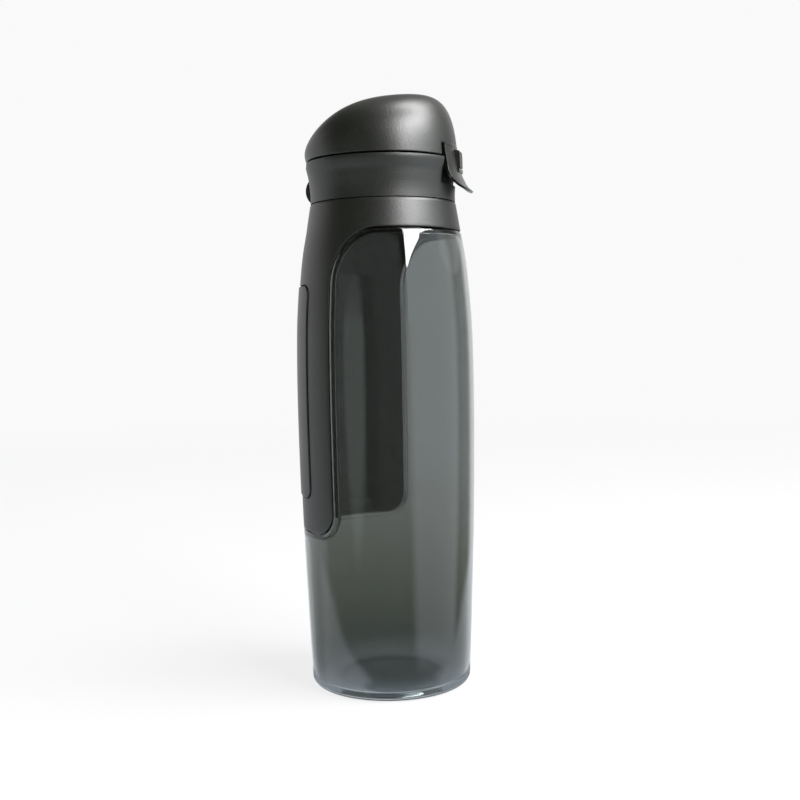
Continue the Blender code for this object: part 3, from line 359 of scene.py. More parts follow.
def outside_seam(seam, low):
    """Patches between a low level and the edge, beside the shell and round the back, as flat
    points, with the arc lengths of the points along their foot."""
    foot, _, fillet, back = seam
    behind = np.concatenate((fillet, back[1:]))
    knee = gather(behind[:, 0], foot[-1, 1])
    patches = [ruled(gather(foot[:, 0], low), foot, UNDER_ROWS),
               ruled(gather(behind[:, 0], low), knee, UNDER_ROWS), ruled(knee, behind, SIDE_ROWS)]
    return patches, np.concatenate((foot[:, 0], behind[1:, 0]))


def pocket_line(pocket, depth, seam):
    """Edge of the compartment on the stepped side, as foot, side and top: where the flat plane at
    the pocket's back cuts the form, the arc length is the bottle's radius times the angle whose
    cosine is back over the form's radius."""
    back, low, high = pocket
    heights = np.linspace(low, high, SIDE_ROWS + 1)
    half = BODY_RADIUS * np.arccos(back / (body_reach(heights) + depth))
    share = seam[0][:, 0] / seam[0][-1, 0]
    return gather(share * half[0], low), gather(half, heights), gather(share * half[-1], high)


def pocket_walls(hole, depth, back):
    """Flat back of the compartment and its flat floor and roof, which reach from the back to the
    edge of the hole."""
    foot, side, top = (wrap(run, depth) for run in hole)
    wall = gather(-back, side[:, 1:2] * hole[0][:, 0] / hole[0][-1, 0], side[:, 2:])
    return [wall, ruled(wall[0], foot, 4), ruled(wall[-1], top, 4)]


def bottle_side(grow, edge, proud, deep, pocket, base):
    """One skin of the bottle, right half: the side outside the shell's edge, the rounded step, the
    seat of the shell, and the compartment. Returns its patches, the turns along its foot and its
    head, and the head's height."""
    step = np.concatenate((arc_points(grow + edge, proud - edge, edge, 90, 180, 4),
                           arc_points(grow - edge, deep + edge, edge, 0, -90, 4)))
    inner = seam_line(step[-1, 0])
    outside, foot = outside_seam(seam_line(step[0, 0]), base)
    hole = pocket_line(pocket, deep, inner)
    inside, head = inside_seam(inner, hole)
    patches = [wrap(patch, proud) for patch in outside] + [seam_strip(step)]
    patches += [wrap(patch, deep) for patch in inside] + pocket_walls(hole, deep, pocket[0])
    return patches, math.pi + foot / BODY_RADIUS, math.pi + head[:, 0] / BODY_RADIUS, head[0, 1]


def turned_rows(profile, turns, end_turns=None):
    """Rows of a turned surface: each (radius, height) of the profile goes round all the turns,
    which change evenly from the first list to the second along the profile."""
    turn = np.linspace(turns, turns if end_turns is None else end_turns, len(profile))
    return round_axis(profile[:, :1], turn, profile[:, 1:])


def mirrored(patch):
    """The same patch on the other side of the plane Y = 0."""
    return patch * (1.0, -1.0, 1.0)


def both_sides(patches):
    """Every patch and its mirror image."""
    return [half for patch in patches for half in (patch, mirrored(patch))]


def add_thread(rows, radius, low, high, height, last):
    """Raise a screw ridge on turned rows: a point is pushed out by the ridge's height times a
    rounded hump of its distance from the helix, faded in and out at the thread's two ends."""
    x, y, z = np.moveaxis(rows, -1, 0)
    turn = np.mod(np.arctan2(y, x), 2 * math.pi)
    climb = z - low - THREAD_PITCH * turn / (2 * math.pi)
    lap = np.round(climb / THREAD_PITCH)
    near = climb - lap * THREAD_PITCH
    along = lap + turn / (2 * math.pi)
    fade = np.clip(RIDGE_FADE * np.stack((along - THREAD_START, last - along)), 0, 1).prod(axis=0)
    hump = np.clip(1.6 - np.abs(near) / RIDGE_HALF, 0, 1) * fade
    span = (z > low - THREAD_PITCH / 2) & (z < high)
    flat = np.hypot(x, y)
    scale = 1 + hump * span * (np.abs(flat - radius) < 0.2 * MM) * height / flat
    return rows * gather(scale, scale, 1.0)


def build_mesh(name, patches):
    """One mesh of several grids of points. Each grid gives a quad for every cell, points closer
    than 2 micrometres are made one, and the closed surface gets its faces pointing outwards."""
    points, faces, count = [], [], 0
    for patch in patches:
        rows, columns = patch.shape[:2]
        index = count + np.arange(rows * columns).reshape(rows, columns)
        faces.append(gather(index[:-1, :-1], index[:-1, 1:], index[1:, 1:],
                            index[1:, :-1]).reshape(-1, 4))
        points.append(patch.reshape(-1, 3))
        count += rows * columns
    mesh = bpy.data.meshes.new(name)
    mesh.from_pydata(np.concatenate(points).tolist(), [], np.concatenate(faces).tolist())
    shape = bmesh.new()
    shape.from_mesh(mesh)
    bmesh.ops.remove_doubles(shape, verts=shape.verts, dist=2e-6)
    bmesh.ops.recalc_face_normals(shape, faces=shape.faces)
    shape.to_mesh(mesh)
    shape.free()
    return mesh


def make_piece(name, patches, body, slot, material, sharp=35.0, replaces=True):
    """An object of the given grids that rides on a body, takes the given material and, when it
    replaces, hides the node named by the slot. Edges sharper than the given angle keep a crease. A
    piece between two bodies has no body here."""
    mesh = build_mesh(name, patches)
    mesh.shade_smooth()
    mesh.set_sharp_from_angle(angle=math.radians(sharp))
    mesh.materials.append(material)
    piece = place_object(name, mesh)
    if body:
        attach(piece, body)
    if replaces:
        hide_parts(slot)
    return piece


def noise(tree, place, scale, detail=2.0):
    """Soft random clouds from 0 to 1 over the places."""
    return add_node(tree, "TexNoise", {"Vector": place, "Scale": scale, "Detail": detail})


def spread(tree, share, low, high):
    """A share spread evenly between two values."""
    return add_node(tree, "MapRange", {"Value": share, "To Min": low, "To Max": high})


def tint_ramp(tree, share, stops, blend="LINEAR"):
    """Colours at places along a share, blended between them."""
    tint = add_node(tree, "ValToRGB", {"Fac": share})
    ramp = tint.node.color_ramp
    ramp.interpolation, elements = blend, ramp.elements
    for end in (0, -1):
        elements[end].position, elements[end].color = stops[end][0], (*stops[end][1], 1.0)
    for place, colour in stops[1:-1]:
        elements.new(place).color = (*colour, 1.0)
    return tint


outer_skin, outer_foot, outer_head, outer_top = bottle_side(
    STEP, STEP_EDGE, 0.0, -SEAT, POCKET, FOOT_CORNER)
inner_skin, inner_foot, inner_head, inner_top = bottle_side(
    INNER_STEP, INNER_STEP_EDGE, -WALL, -SEAT - WALL, INNER_POCKET, FLOOR + INNER_CORNER)
heel_centre = body_reach(FOOT_CORNER) - FOOT_CORNER
outer_base = np.concatenate((arc_points(heel_centre, FOOT_CORNER, FOOT_CORNER, 0, -90, 8), PUNT))
inner_centre = body_reach(FLOOR + INNER_CORNER) - WALL - INNER_CORNER
inner_base = np.concatenate((
    arc_points(inner_centre, FLOOR + INNER_CORNER, INNER_CORNER, 0, -90, 8),
    ruled((24.0 * MM, FLOOR), (0.0, FLOOR), 3)))
shoulder = body_reach(outer_top) - SEAT
neck_profile = np.concatenate((
    ((shoulder, outer_top), (shoulder - 0.4 * MM, outer_top)),
    np.array(((29.6, 204.9), (28.8, 205.5), (28.45, 206.0))) * MM,
    ruled((NECK, 206.6 * MM), (NECK, 227.6 * MM), 63),
    np.array(((28.3, 228.1), (28.0, 228.4), (26.6, 228.4), (26.3, 228.1), (26.2, 227.4))) * MM,
    ruled((BORE, 226.0 * MM), (BORE, 205.0 * MM), 11),
    np.array(((26.4, 203.9), (27.0, 203.2), (28.2, 202.0))) * MM,
    ((body_reach(inner_top) - SEAT - WALL, inner_top),),
))
neck = both_sides([turned_rows(neck_profile, outer_head, inner_head)])
bottle_patches = both_sides(outer_skin + inner_skin + [turned_rows(outer_base, outer_foot),
                                                       turned_rows(inner_base, inner_foot)])
bottle_patches += [add_thread(half, NECK, *NECK_THREAD) for half in neck]

smoke, tree, shader = new_paint("smoke_clear")
place = add_node(tree, "TexCoord", output="Object")
level = add_node(tree, "MapRange", {
    "Value": add_node(tree, "SeparateXYZ", {0: place}, output="Z"), "From Max": 120.0 * MM})
# Smoke grey is the plastic's own tint; its change with height is painted light and shade.
smoke_and_shade_tint = tint_ramp(tree, level, (
    (0.0, (0.420, 0.470, 0.500)), (0.035, (0.340, 0.380, 0.400)), (0.080, (0.175, 0.197, 0.195)),
    (0.13, (0.155, 0.172, 0.162)), (0.25, (0.220, 0.238, 0.218)), (0.45, (0.250, 0.268, 0.248)),
    (0.75, (0.350, 0.368, 0.360)), (1.0, (0.365, 0.385, 0.378))), blend="B_SPLINE")
feed(tree, shader, {"Transmission Weight": 1.0, "IOR": 1.54, "Base Color": smoke_and_shade_tint,
                    "Roughness": spread(tree, noise(tree, place, 35.0, 3.0), 0.01, 0.03)})
make_piece("clear_bottle", bottle_patches, "bottle", "bottle_body", smoke)


# Dark collar and half shell
# One moulding in charcoal plastic with a fine spark texture: a collar round the neck, and a half
# round shell that frames the door. A ledge behind the door's edge holds it level.
CHARCOAL = np.array((0.0046, 0.0052, 0.0036))
DOOR_HALF = math.radians(55.5) * BODY_RADIUS
DOOR_LOW = BODY_HEIGHT * 0.4014
DOOR_HIGH = DOOR_LOW + BODY_HEIGHT * 0.4311
DOOR_CORNER = 4.5 * MM
DOOR_SEAT = 1.5 * MM
DOOR_GAP = 0.4 * MM
LEDGE = 2.6 * MM
SHELL_THICK = 2.6 * MM
EDGE = 0.45 * MM
RIM_BEVEL = 0.3 * MM
COLLAR_EDGE = 0.6 * MM
BAY = (94.37 * MM, 153.70 * MM)
BAY_SETBACK = 4.4 * MM
BAY_SHADE_SHEET = 0.08 * MM
HINGE_TURN = math.pi - (DOOR_HALF + 2.6 * MM) / BODY_RADIUS
HINGE_REACH = 38.6 * MM
KNUCKLE, KNUCKLE_EDGE, KNUCKLES = 1.45 * MM, 0.25 * MM, 5
HINGE_LOW, HINGE_PITCH, HINGE_GAP = 94.77 * MM, 11.706 * MM, 0.4 * MM
WEB, WEB_SHORT = (-0.8 * MM, 0.5 * MM), 0.15 * MM
SHELL_WEB, DOOR_WEB = (-2.9 * MM, 0.0), (0.0, 3.3 * MM)


def door_line(grow, setback=0.0):
    """Right half of the door's outline moved outwards by grow, in three runs that share their ends
    halfway round the corners. Along the hinge's bay the side is set back."""
    half, low, high, bend = DOOR_HALF + grow, DOOR_LOW - grow, DOOR_HIGH + grow, DOOR_CORNER + grow
    turn, bay = half - bend, half + setback
    foot = (ruled((0.0, low), (turn, low), FOOT_COLUMNS),
            arc_points(turn, low + bend, bend, -90, -45, CORNER_COLUMNS)[1:])
    side = (arc_points(turn, low + bend, bend, -45, 0, 6),
            ruled((half, low + bend), (half, BAY[0]), 4)[1:],
            ruled((bay, BAY[0]), (bay, BAY[1]), 42),
            ruled((half, BAY[1]), (half, high - bend), 12)[:-1],
            arc_points(turn, high - bend, bend, 0, 45, 6))
    top = (ruled((0.0, high), (turn, high), FOOT_COLUMNS),
           arc_points(turn, high - bend, bend, 90, 45, CORNER_COLUMNS)[1:])
    return [np.concatenate(run) for run in (foot, side, top)]


def door_strips(steps):
    """Strips along the door's foot, side and top, right half, for a list of (outline, depth) steps:
    one row of points for each."""
    return [np.stack([wrap(line[run], depth) for line, depth in steps]) for run in range(3)]


def edge_steps(top, low):
    """(grow, depth) steps down a rounded edge: a quarter circle, then straight down to low."""
    return np.concatenate((arc_points(-EDGE, top - EDGE, EDGE, 90, 0, 4), ((0.0, low),)))


def plate(face, back):
    """Patches of a thin plate between two grids: both grids and the four strips round them."""
    cuts = (np.s_[0], np.s_[-1], np.s_[:, 0], np.s_[:, -1])
    return [face, back] + [np.stack((face[cut], back[cut])) for cut in cuts]


def knuckle_rows(low, high, radius, edge, steps=28):
    """A short round bar with softened ends, on the Z axis, closed at both ends."""
    profile = np.array(((0.0, low), (radius - edge, low), (radius - 0.3 * edge, low + 0.3 * edge),
                        (radius, low + edge), (radius, high - edge),
                        (radius - 0.3 * edge, high - 0.3 * edge), (radius - edge, high),
                        (0.0, high)))
    return turned_rows(profile, np.linspace(0.0, 2 * math.pi, steps + 1))


def prism_rows(outline, low, high):
    """A flat outline in X and Y carried from one height to another and closed at both ends."""
    middle = np.broadcast_to(outline[:-1].mean(axis=0), outline.shape)
    return np.stack([gather(*flat.T, height) for flat, height in (
        (middle, low), (outline, low), (outline, high), (middle, high))])


def block_rows(low, high):
    """A plain block between two corners, as one closed strip of rows."""
    (a, b, c), (d, e, f) = low, high
    return prism_rows(np.array(((a, b), (d, b), (d, e), (a, e), (a, b))), c, f)


def turned(points, angle):
    """Points turned about the Z axis."""
    cosine, sine = math.cos(angle), math.sin(angle)
    across, along, up = np.moveaxis(points, -1, 0)
    return gather(across * cosine - along * sine, across * sine + along * cosine, up)


def by_hinge(points):
    """Points given as (along, out, up) at the door's hinge axis, turned to face outwards there."""
    return turned(points[..., (1, 0, 2)] + (HINGE_REACH, 0.0, 0.0), HINGE_TURN)


def hinge_half(first, web):
    """Every other knuckle of the door's hinge with the flat web that ties it to its piece."""
    shapes = []
    for index in range(first, KNUCKLES, 2):
        low = HINGE_LOW + index * HINGE_PITCH + HINGE_GAP / 2
        high = low + HINGE_PITCH - HINGE_GAP
        shapes += [by_hinge(knuckle_rows(low, high, KNUCKLE, KNUCKLE_EDGE)),
                   by_hinge(block_rows((web[0], WEB[0], low + WEB_SHORT),
                                       (web[1], WEB[1], high - WEB_SHORT)))]
    return shapes


def dents(tree, height, strength, depth):
    """Bumps of the surface as deep as the height says."""
    return add_node(tree, "Bump", {"Height": height, "Strength": strength, "Distance": depth})


def grained_plastic(name, colour, roughness, grain=1600.0, depth=0.10 * MM):
    """Matte moulded plastic: two noises, one for the fine pits of the spark texture and one for
    slow patches of sheen, drive the bump, the roughness and a slight change of the colour."""
    paint, tree, shader = new_paint(name)
    place = add_node(tree, "TexCoord", output="Object")
    pits, clouds = noise(tree, place, grain), noise(tree, place, 60.0, 4.0)
    feed(tree, shader, {
        "Specular IOR Level": 0.68,
        "Roughness": spread(tree, clouds, roughness - 0.04, roughness + 0.05),
        "Base Color": tint_ramp(tree, pits, ((0.3, colour * 0.55), (0.7, colour * 1.45))),
        "Normal": dents(tree, pits, 0.7, depth)})
    return paint


shell_edge = seam_strip(edge_steps(0.0, -SHELL_THICK))
shell_patches = []
# The near half is plain. The far half has the hinge's bay and is mirrored.
for setback in (0.0, BAY_SETBACK):
    seat_line = door_line(DOOR_GAP, setback)
    opening_line = door_line(-LEDGE, setback + (DOOR_GAP + LEDGE) * (setback > 0))
    rim_line = door_line(DOOR_GAP + RIM_BEVEL, setback)
    face, face_head = inside_seam(seam_line(-EDGE), rim_line)
    back, back_head = inside_seam(seam_line(0.0), opening_line)
    half = [wrap(patch, 0.0) for patch in face] + [wrap(patch, -SHELL_THICK) for patch in back]
    half += door_strips(((rim_line, 0.0), (seat_line, -RIM_BEVEL), (seat_line, -DOOR_SEAT),
                         (opening_line, -DOOR_SEAT), (opening_line, -SHELL_THICK)))
    climb = np.linspace(face_head[0, 1], BODY_HEIGHT - COLLAR_EDGE, 16)
    fall = np.linspace(BODY_HEIGHT - 2.0 * MM, back_head[0, 1], 12)
    collar_profile = np.concatenate((
        gather(body_reach(climb), climb),
        arc_points(body_reach(BODY_HEIGHT) - COLLAR_EDGE, BODY_HEIGHT - COLLAR_EDGE, COLLAR_EDGE,
                   15, 90, 5),
        np.array(((29.2, 215.5), (28.85, 215.4), (28.75, 215.0), (28.75, 213.5),
                  (30.0, 213.5))) * MM,
        gather(body_reach(fall) - SHELL_THICK, fall),
    ))
    half.append(turned_rows(collar_profile, math.pi + face_head[:, 0] / BODY_RADIUS,
                            math.pi + back_head[:, 0] / BODY_RADIUS))
    half.append(shell_edge)
    shell_patches += [mirrored(patch) for patch in half] if setback else half

# A thin charcoal sheet closes the hinge's bay between the knuckles and the bottle: the bay's
# floor, and a dark sheet that paints the shade in the bay.
bay_shade_sheet = np.stack(np.meshgrid(
    np.linspace(DOOR_HALF - LEDGE, DOOR_HALF + BAY_SETBACK + DOOR_GAP, 9),
    np.linspace(BAY[0] - DOOR_GAP, BAY[1] + DOOR_GAP, 25)), axis=-1)
shell_patches += [mirrored(patch) for patch in plate(wrap(bay_shade_sheet, BAY_SHADE_SHEET - SHELL_THICK),
                                                     wrap(bay_shade_sheet, -SHELL_THICK))]
shell_paint = grained_plastic("shell_charcoal", CHARCOAL, 0.42)
make_piece("collar_and_shell", shell_patches + hinge_half(0, SHELL_WEB), "bottle",
           "storage_shell", shell_paint)


# Door of the compartment
# A curved panel in charcoal plastic a little lighter than the shell's, half a millimetre proud of
# its frame. It turns on a pin along its far edge, and a springy hook inside its near edge snaps
# behind the ledge.
DOOR_PROUD = 0.5 * MM
DOOR_BACK = -1.2 * MM
DOOR_HOOK = np.array(((-28.0, -28.3), (-21.3, -28.3), (-21.3, -29.7), (-20.4, -28.8),
                      (-20.4, -27.1), (-28.0, -27.1), (-28.0, -28.3))) * MM
DOOR_HOOK_SPAN = (126.8 * MM, 138.8 * MM)


def door_face(line, depth):
    """Face of the door between its foot, side and top lines: the arc length is the side's, times
    the foot's share of the width, and the height runs evenly between foot and top."""
    foot, side, top = line
    rise = (side[:, 1:] - side[0, 1]) / (side[-1, 1] - side[0, 1])
    return wrap(gather(side[:, :1] * foot[:, 0] / foot[-1, 0],
                       foot[:, 1] + (top[:, 1] - foot[:, 1]) * rise), depth)


door_rows = [(door_line(grow), depth) for grow, depth in edge_steps(DOOR_PROUD, DOOR_BACK)]
door_parts = both_sides(door_strips(door_rows)
                        + [door_face(*door_rows[0]), door_face(*door_rows[-1])])
door_paint = grained_plastic("door_charcoal", np.array((0.0080, 0.0080, 0.0086)), 0.42)
door_parts += hinge_half(1, DOOR_WEB) + [prism_rows(DOOR_HOOK, *DOOR_HOOK_SPAN)]
make_piece("compartment_door", door_parts, "door", "storage_door", door_paint)


# Hinge pins
# Drawn stainless wire, cut to length with its ends rounded over. One pin runs through the door's
# knuckles, the other through the two ears of the cap and the knuckle of the dome.
LID_TURN = math.radians(11.5)
LID_AXIS = np.array((-30.4, 236.9)) * MM
DOOR_PIN = (95.17 * MM, 152.90 * MM, 0.65 * MM, 0.2 * MM)
LID_PIN = (-7.8 * MM, 7.8 * MM, 1.0 * MM, 0.3 * MM)


def lid_place(points):
    """Points of the lid's own frame turned with the lid about the bottle's axis."""
    return turned(points, LID_TURN)


def on_lid_axis(points):
    """A shape on the Z axis laid along Y on the axis of the lid's pin."""
    return gather(LID_AXIS[0] + points[..., 0], points[..., 2], LID_AXIS[1] - points[..., 1])


# A noise stretched along the wire streaks the steel's roughness and tone.
steel, tree, shader = new_paint("drawn_steel")
streaks = noise(tree, add_node(tree, "Mapping", {
    "Vector": add_node(tree, "TexCoord", output="Object"), "Scale": (9000.0, 9000.0, 300.0)}), 1.0)
feed(tree, shader, {
    "Metallic": 1.0, "Roughness": spread(tree, streaks, 0.22, 0.40),
    "Base Color": tint_ramp(tree, streaks, ((0.0, (0.42, 0.42, 0.43)),
                                            (1.0, (0.66, 0.66, 0.67))))})
make_piece("door_pin", [by_hinge(knuckle_rows(*DOOR_PIN))], "bottle", "door_hinge_pin", steel)
make_piece("lid_pin", [lid_place(on_lid_axis(knuckle_rows(*LID_PIN)))], "cap", "lid_hinge_pin",
           steel)


# Screw cap
# Matte charcoal moulding that screws on the neck: a waisted skirt, a sunk deck with the spout's
# hole, a seat cut for the latch tongue, hinge ears at the back, the catch hook and a strap eyelet.
CAP_RADIUS = BODY_RADIUS * 0.8575
CAP_LOW, CAP_TOP = 215.8 * MM, 233.5 * MM
CAP_EDGE = 0.45 * MM
DECK, DECK_UNDER = 232.0 * MM, 230.2 * MM
SEAT_REACH, SEAT_HALF, SEAT_LOW = 31.3 * MM, 14.2 * MM, 222.5 * MM
NOTCH_HALF, NOTCH_RADIUS = 14.3 * MM, 5.4 * MM
SKIRT_BORE = 30.1 * MM
SKIRT_THREAD = (217.5 * MM, 229.0 * MM, -0.9 * MM, 2.6)
SPOUT_X, SPOUT_HOLE = 3.0 * MM, 9.2 * MM
CAP_WAIST = np.array(((0.00, 0.9510), (0.18, 0.9500), (0.35, 0.9545), (0.51, 0.9645),
                      (0.68, 0.9765), (0.82, 0.9940), (0.95, 1.0060), (1.00, 1.0040)))
CAP_RIM = np.array(((31.3, 232.0), (31.4, 232.0), (31.4, 232.8), (31.4, 233.5), (32.3, 233.5),
                    (33.2, 233.5), (CAP_RADIUS / MM * 1.004, 233.5))) * MM
SEAT_COLUMNS, SKIRT_COLUMNS, NOTCH_COLUMNS = 11, 61, 11
CATCH_HOOK = np.array((
    (29.6, 230.2), (35.9, 230.2), (35.9, 232.6), (35.85, 235.0), (35.75, 236.6), (35.6, 237.2),
    (35.2, 237.5), (30.8, 237.5), (29.6, 236.4), (29.6, 230.2))) * MM
CATCH_HALF = 3.3 * MM
EARS, EAR_LENGTH, LID_KNUCKLE = (-8.2 * MM, 4.5 * MM), 3.7 * MM, 3.0 * MM
EYELET, EYELET_RADIUS, EYELET_HALF = np.array((-28.5, 222.9)) * MM, 7.2 * MM, 1.3 * MM
EYELET_SPAN = (109.5, 250.5)
EAR_BLOCK = np.array(((-30.9, 0.2, 231.1), (-27.4, 3.5, 236.9))) * MM
STRAP_HOLE, STRAP_RADIUS = np.array((-33.3, 222.9)) * MM, 0.7 * MM


def cap_reach(height):
    """Radius of the cap's waisted side at each height."""
    return CAP_RADIUS * smooth_curve((height - CAP_LOW) / (CAP_TOP - CAP_LOW), *CAP_WAIST.T)


columns = np.arange(SEAT_COLUMNS + SKIRT_COLUMNS + NOTCH_COLUMNS)
in_seat, in_notch = columns < SEAT_COLUMNS, columns >= SEAT_COLUMNS + SKIRT_COLUMNS
seat_share, side_share, notch_share = (
    np.clip((columns - first) / (count - 1), 0.0, 1.0)
    for first, count in ((0, SEAT_COLUMNS), (SEAT_COLUMNS, SKIRT_COLUMNS),
                         (SEAT_COLUMNS + SKIRT_COLUMNS, NOTCH_COLUMNS)))


def cap_rows(radius, height):
    """Half of the cap: radii and heights for each column become points. The columns by the seat
    and by the notch keep to planes of constant Y, so their turn is the arc sine of Y over the
    radius, and those between share out the rest."""
    reach = np.maximum(radius, SEAT_REACH)
    seat_turn = np.arcsin(SEAT_HALF / reach)
    notch_turn = math.pi - np.arcsin(NOTCH_HALF / reach)
    return round_axis(radius, seat_share * seat_turn + side_share * (notch_turn - seat_turn)
                      + notch_share * (math.pi - notch_turn), height)


def notched(points):
    """Lower the points of the notch's columns to the trough that the dome's knuckles turn in."""
    along, across, up = np.moveaxis(points, -1, 0)
    away = np.abs(along - LID_AXIS[0])
    trough = LID_AXIS[1] - np.sqrt(np.maximum(NOTCH_RADIUS**2 - away**2, 0.0))
    low = np.where(in_notch & (away < NOTCH_RADIUS), np.minimum(up, trough), up)
    return gather(along, across, low)


def soften(piece, width, segments=2):
    """Round the sharp edges of a moulding with a small bevel."""
    bevel = piece.modifiers.new("softened_edges", "BEVEL")
    bevel.width, bevel.segments = width, segments
    bevel.limit_method, bevel.angle_limit = "ANGLE", math.radians(50)


low_heights = np.linspace(CAP_LOW, SEAT_LOW, 15)[:, None]
side_heights = np.linspace(SEAT_LOW, CAP_TOP, 25)[:, None]
wall_heights = np.linspace(SEAT_LOW, DECK, 25)[:, None]
cap_low_rows = cap_rows(cap_reach(low_heights), low_heights)
cap_high_rows = notched(cap_rows(np.where(in_seat, SEAT_REACH, cap_reach(side_heights)),
                                 np.where(in_seat, wall_heights, side_heights)))
rim_rows = notched(cap_rows(np.where(in_seat, SEAT_REACH, CAP_RIM[:, :1]),
                            np.where(in_seat, DECK, CAP_RIM[:, 1:])))
deck_edge = cap_rows(SEAT_REACH, DECK)
deck_turn = np.arctan2(deck_edge[:, 1], deck_edge[:, 0])
hole_edge, hole_under = (round_axis(SPOUT_HOLE, deck_turn, height) + (SPOUT_X, 0.0, 0.0)
                         for height in (DECK, DECK_UNDER))
deck_rows = notched(ruled(hole_edge, deck_edge, 24))
rim_rows[0], rim_rows[-1] = deck_rows[-1], cap_high_rows[-1]
skirt_rows = cap_rows(SKIRT_BORE, np.linspace(DECK_UNDER, CAP_LOW, 72)[:, None])
cap_shapes = both_sides([
    cap_low_rows, np.stack((cap_low_rows[-1], cap_high_rows[0])), cap_high_rows, rim_rows,
    deck_rows, np.stack((hole_edge, hole_under)),
    ruled(hole_under, cap_rows(SKIRT_BORE, DECK_UNDER), 8),
    np.stack((skirt_rows[-1], cap_low_rows[0]))])
cap_shapes += [add_thread(half, SKIRT_BORE, *SKIRT_THREAD) for half in both_sides([skirt_rows])]
cap_shapes += [on_lid_axis(knuckle_rows(-start - EAR_LENGTH, -start, LID_KNUCKLE, 0.3 * MM))
               for start in EARS]
cap_shapes += [block_rows(*(EAR_BLOCK + (0.0, start, 0.0))) for start in EARS]
cap_shapes.append(prism_rows(CATCH_HOOK, -CATCH_HALF, CATCH_HALF)[..., (0, 2, 1)])

# The eyelet is a round ear with a chord at the cap's side, and a small hole in it.
eyelet_outer = arc_points(*EYELET, EYELET_RADIUS, *EYELET_SPAN, 44)
eyelet_outer = np.concatenate((eyelet_outer, ruled(eyelet_outer[-1], eyelet_outer[0], 11)[1:]))
ring_turn = np.radians(np.append(ruled(*EYELET_SPAN, 44),
                                 ruled(EYELET_SPAN[1], EYELET_SPAN[0] + 360.0, 11)[1:]))
eyelet_hole = STRAP_HOLE + STRAP_RADIUS * gather(np.cos(ring_turn), np.sin(ring_turn))
cap_shapes.append(np.stack([
    gather(flat[:, 0], across, flat[:, 1])
    for flat, across in ((eyelet_outer, -EYELET_HALF), (eyelet_hole, -EYELET_HALF),
                         (eyelet_hole, EYELET_HALF), (eyelet_outer, EYELET_HALF),
                         (eyelet_outer, -EYELET_HALF))]))
cap_paint = grained_plastic("cap_charcoal", CHARCOAL, 0.44, 1700.0, 0.09 * MM)
cap = make_piece("screw_cap", [lid_place(patch) for patch in cap_shapes], "cap", "cap_base",
                 cap_paint)
soften(cap, CAP_EDGE)


# Gasket
# A soft grey silicone ring, moulded in one, that is pressed between the cap's deck and the lip of
# the neck and seals the bottle.
GASKET_PROFILE = np.array((
    (26.3, 229.1), (26.5, 228.75), (27.9, 228.7), (28.15, 228.9), (28.2, 229.3), (28.1, 229.8),
    (27.8, 229.9), (26.6, 229.9), (26.35, 229.7), (26.3, 229.1))) * MM
SILICONE = np.array((0.17, 0.175, 0.18))
full_turn = np.linspace(0.0, 2 * math.pi, 97)


def soft_silicone(name, colour, roughness):
    """Silicone or satin plastic: a cloudy noise varies the tone and the sheen, and a fine one gives
    the skin its bump."""
    paint, tree, shader = new_paint(name)
    place = add_node(tree, "TexCoord", output="Object")
    cloud, skin = noise(tree, place, 140.0, 5.0), noise(tree, place, 1800.0)
    feed(tree, shader, {
        "Base Color": tint_ramp(tree, cloud, ((0.0, colour * 0.9), (1.0, colour * 1.1))),
        "Roughness": spread(tree, cloud, roughness - 0.06, roughness + 0.06),
        "Normal": dents(tree, skin, 0.2, 0.04 * MM)})
    return paint


make_piece("neck_ring", [turned_rows(GASKET_PROFILE, full_turn)], "gasket_carrier",
           "neck_gasket", soft_silicone("grey_silicone", SILICONE, 0.55))


# Spout
# A satin grey moulding pushed through the deck from above: a lip to drink from, a flange that lies
# on the deck, and a bead below it that holds.
SPOUT_PROFILE = np.array((
    (7.0, 228.8), (7.0, 232.0), (7.0, 237.0), (7.0, 244.0), (7.0, 249.8), (7.15, 250.25),
    (7.5, 250.5), (8.9, 250.5), (9.4, 250.3), (9.7, 249.9), (9.8, 249.3), (9.75, 248.4),
    (9.5, 247.8), (9.15, 247.3), (9.1, 246.6), (9.2, 244.0), (9.45, 240.0), (9.75, 236.5),
    (9.95, 235.0), (10.2, 234.2), (10.7, 233.75), (11.4, 233.6), (12.2, 233.55), (12.45, 233.3),
    (12.5, 232.9), (12.45, 232.4), (12.3, 232.3), (8.9, 232.3), (8.9, 229.95), (9.8, 229.9),
    (9.9, 229.5), (9.4, 229.0), (8.9, 228.75), (7.2, 228.7), (7.0, 228.8))) * MM


def on_spout_axis(points):
    """Shapes on the Z axis, moved to the spout's axis and turned with the lid."""
    return lid_place(points + (SPOUT_X, 0.0, 0.0))


spout_paint = soft_silicone("spout_grey", np.array((0.11, 0.113, 0.12)), 0.42)
make_piece("spout", [on_spout_axis(turned_rows(SPOUT_PROFILE, full_turn))], "cap",
           "drinking_spout", spout_paint)


# Dome
# Charcoal dome that flips open over the spout: a squircle in section, with a roof that rises to the
# front. It has a slot for the latch tongue, one for the cap's ears, and a knuckle on the lid's pin.
DOME_RADIUS = CAP_RADIUS - 0.1 * MM
DOME_LOW = 234.3 * MM
DOME_HEIGHT = 26.39 * MM
DOME_POWER = 2 / 3.034
DOME_DRAFT = 0.0779
DOME_SWELL = 0.0961
DOME_WALL, DOME_EDGE = 2.0 * MM, 0.35 * MM
ROOF = (1.0000, 0.2155, -0.1381, 0.2916)
TONGUE_SLOT = (15.0 * MM, 239.5 * MM)
EAR_SLOT = (8.5 * MM, 240.4 * MM)
FRONT_COLUMNS, MIDDLE_COLUMNS, BACK_END_COLUMNS = 12, 60, 8
BOSS_LOW, BOSS_RADIUS = 252.2 * MM, 4.0 * MM
LID_WEB = np.array(((-32.0, -4.2, 236.9), (-28.6, 4.2, 243.5))) * MM
curve_turn = np.linspace(0.0, math.pi / 2, 4001)
curve_reach = np.cos(curve_turn).clip(0.0) ** DOME_POWER
curve_rise = np.sin(curve_turn) ** DOME_POWER
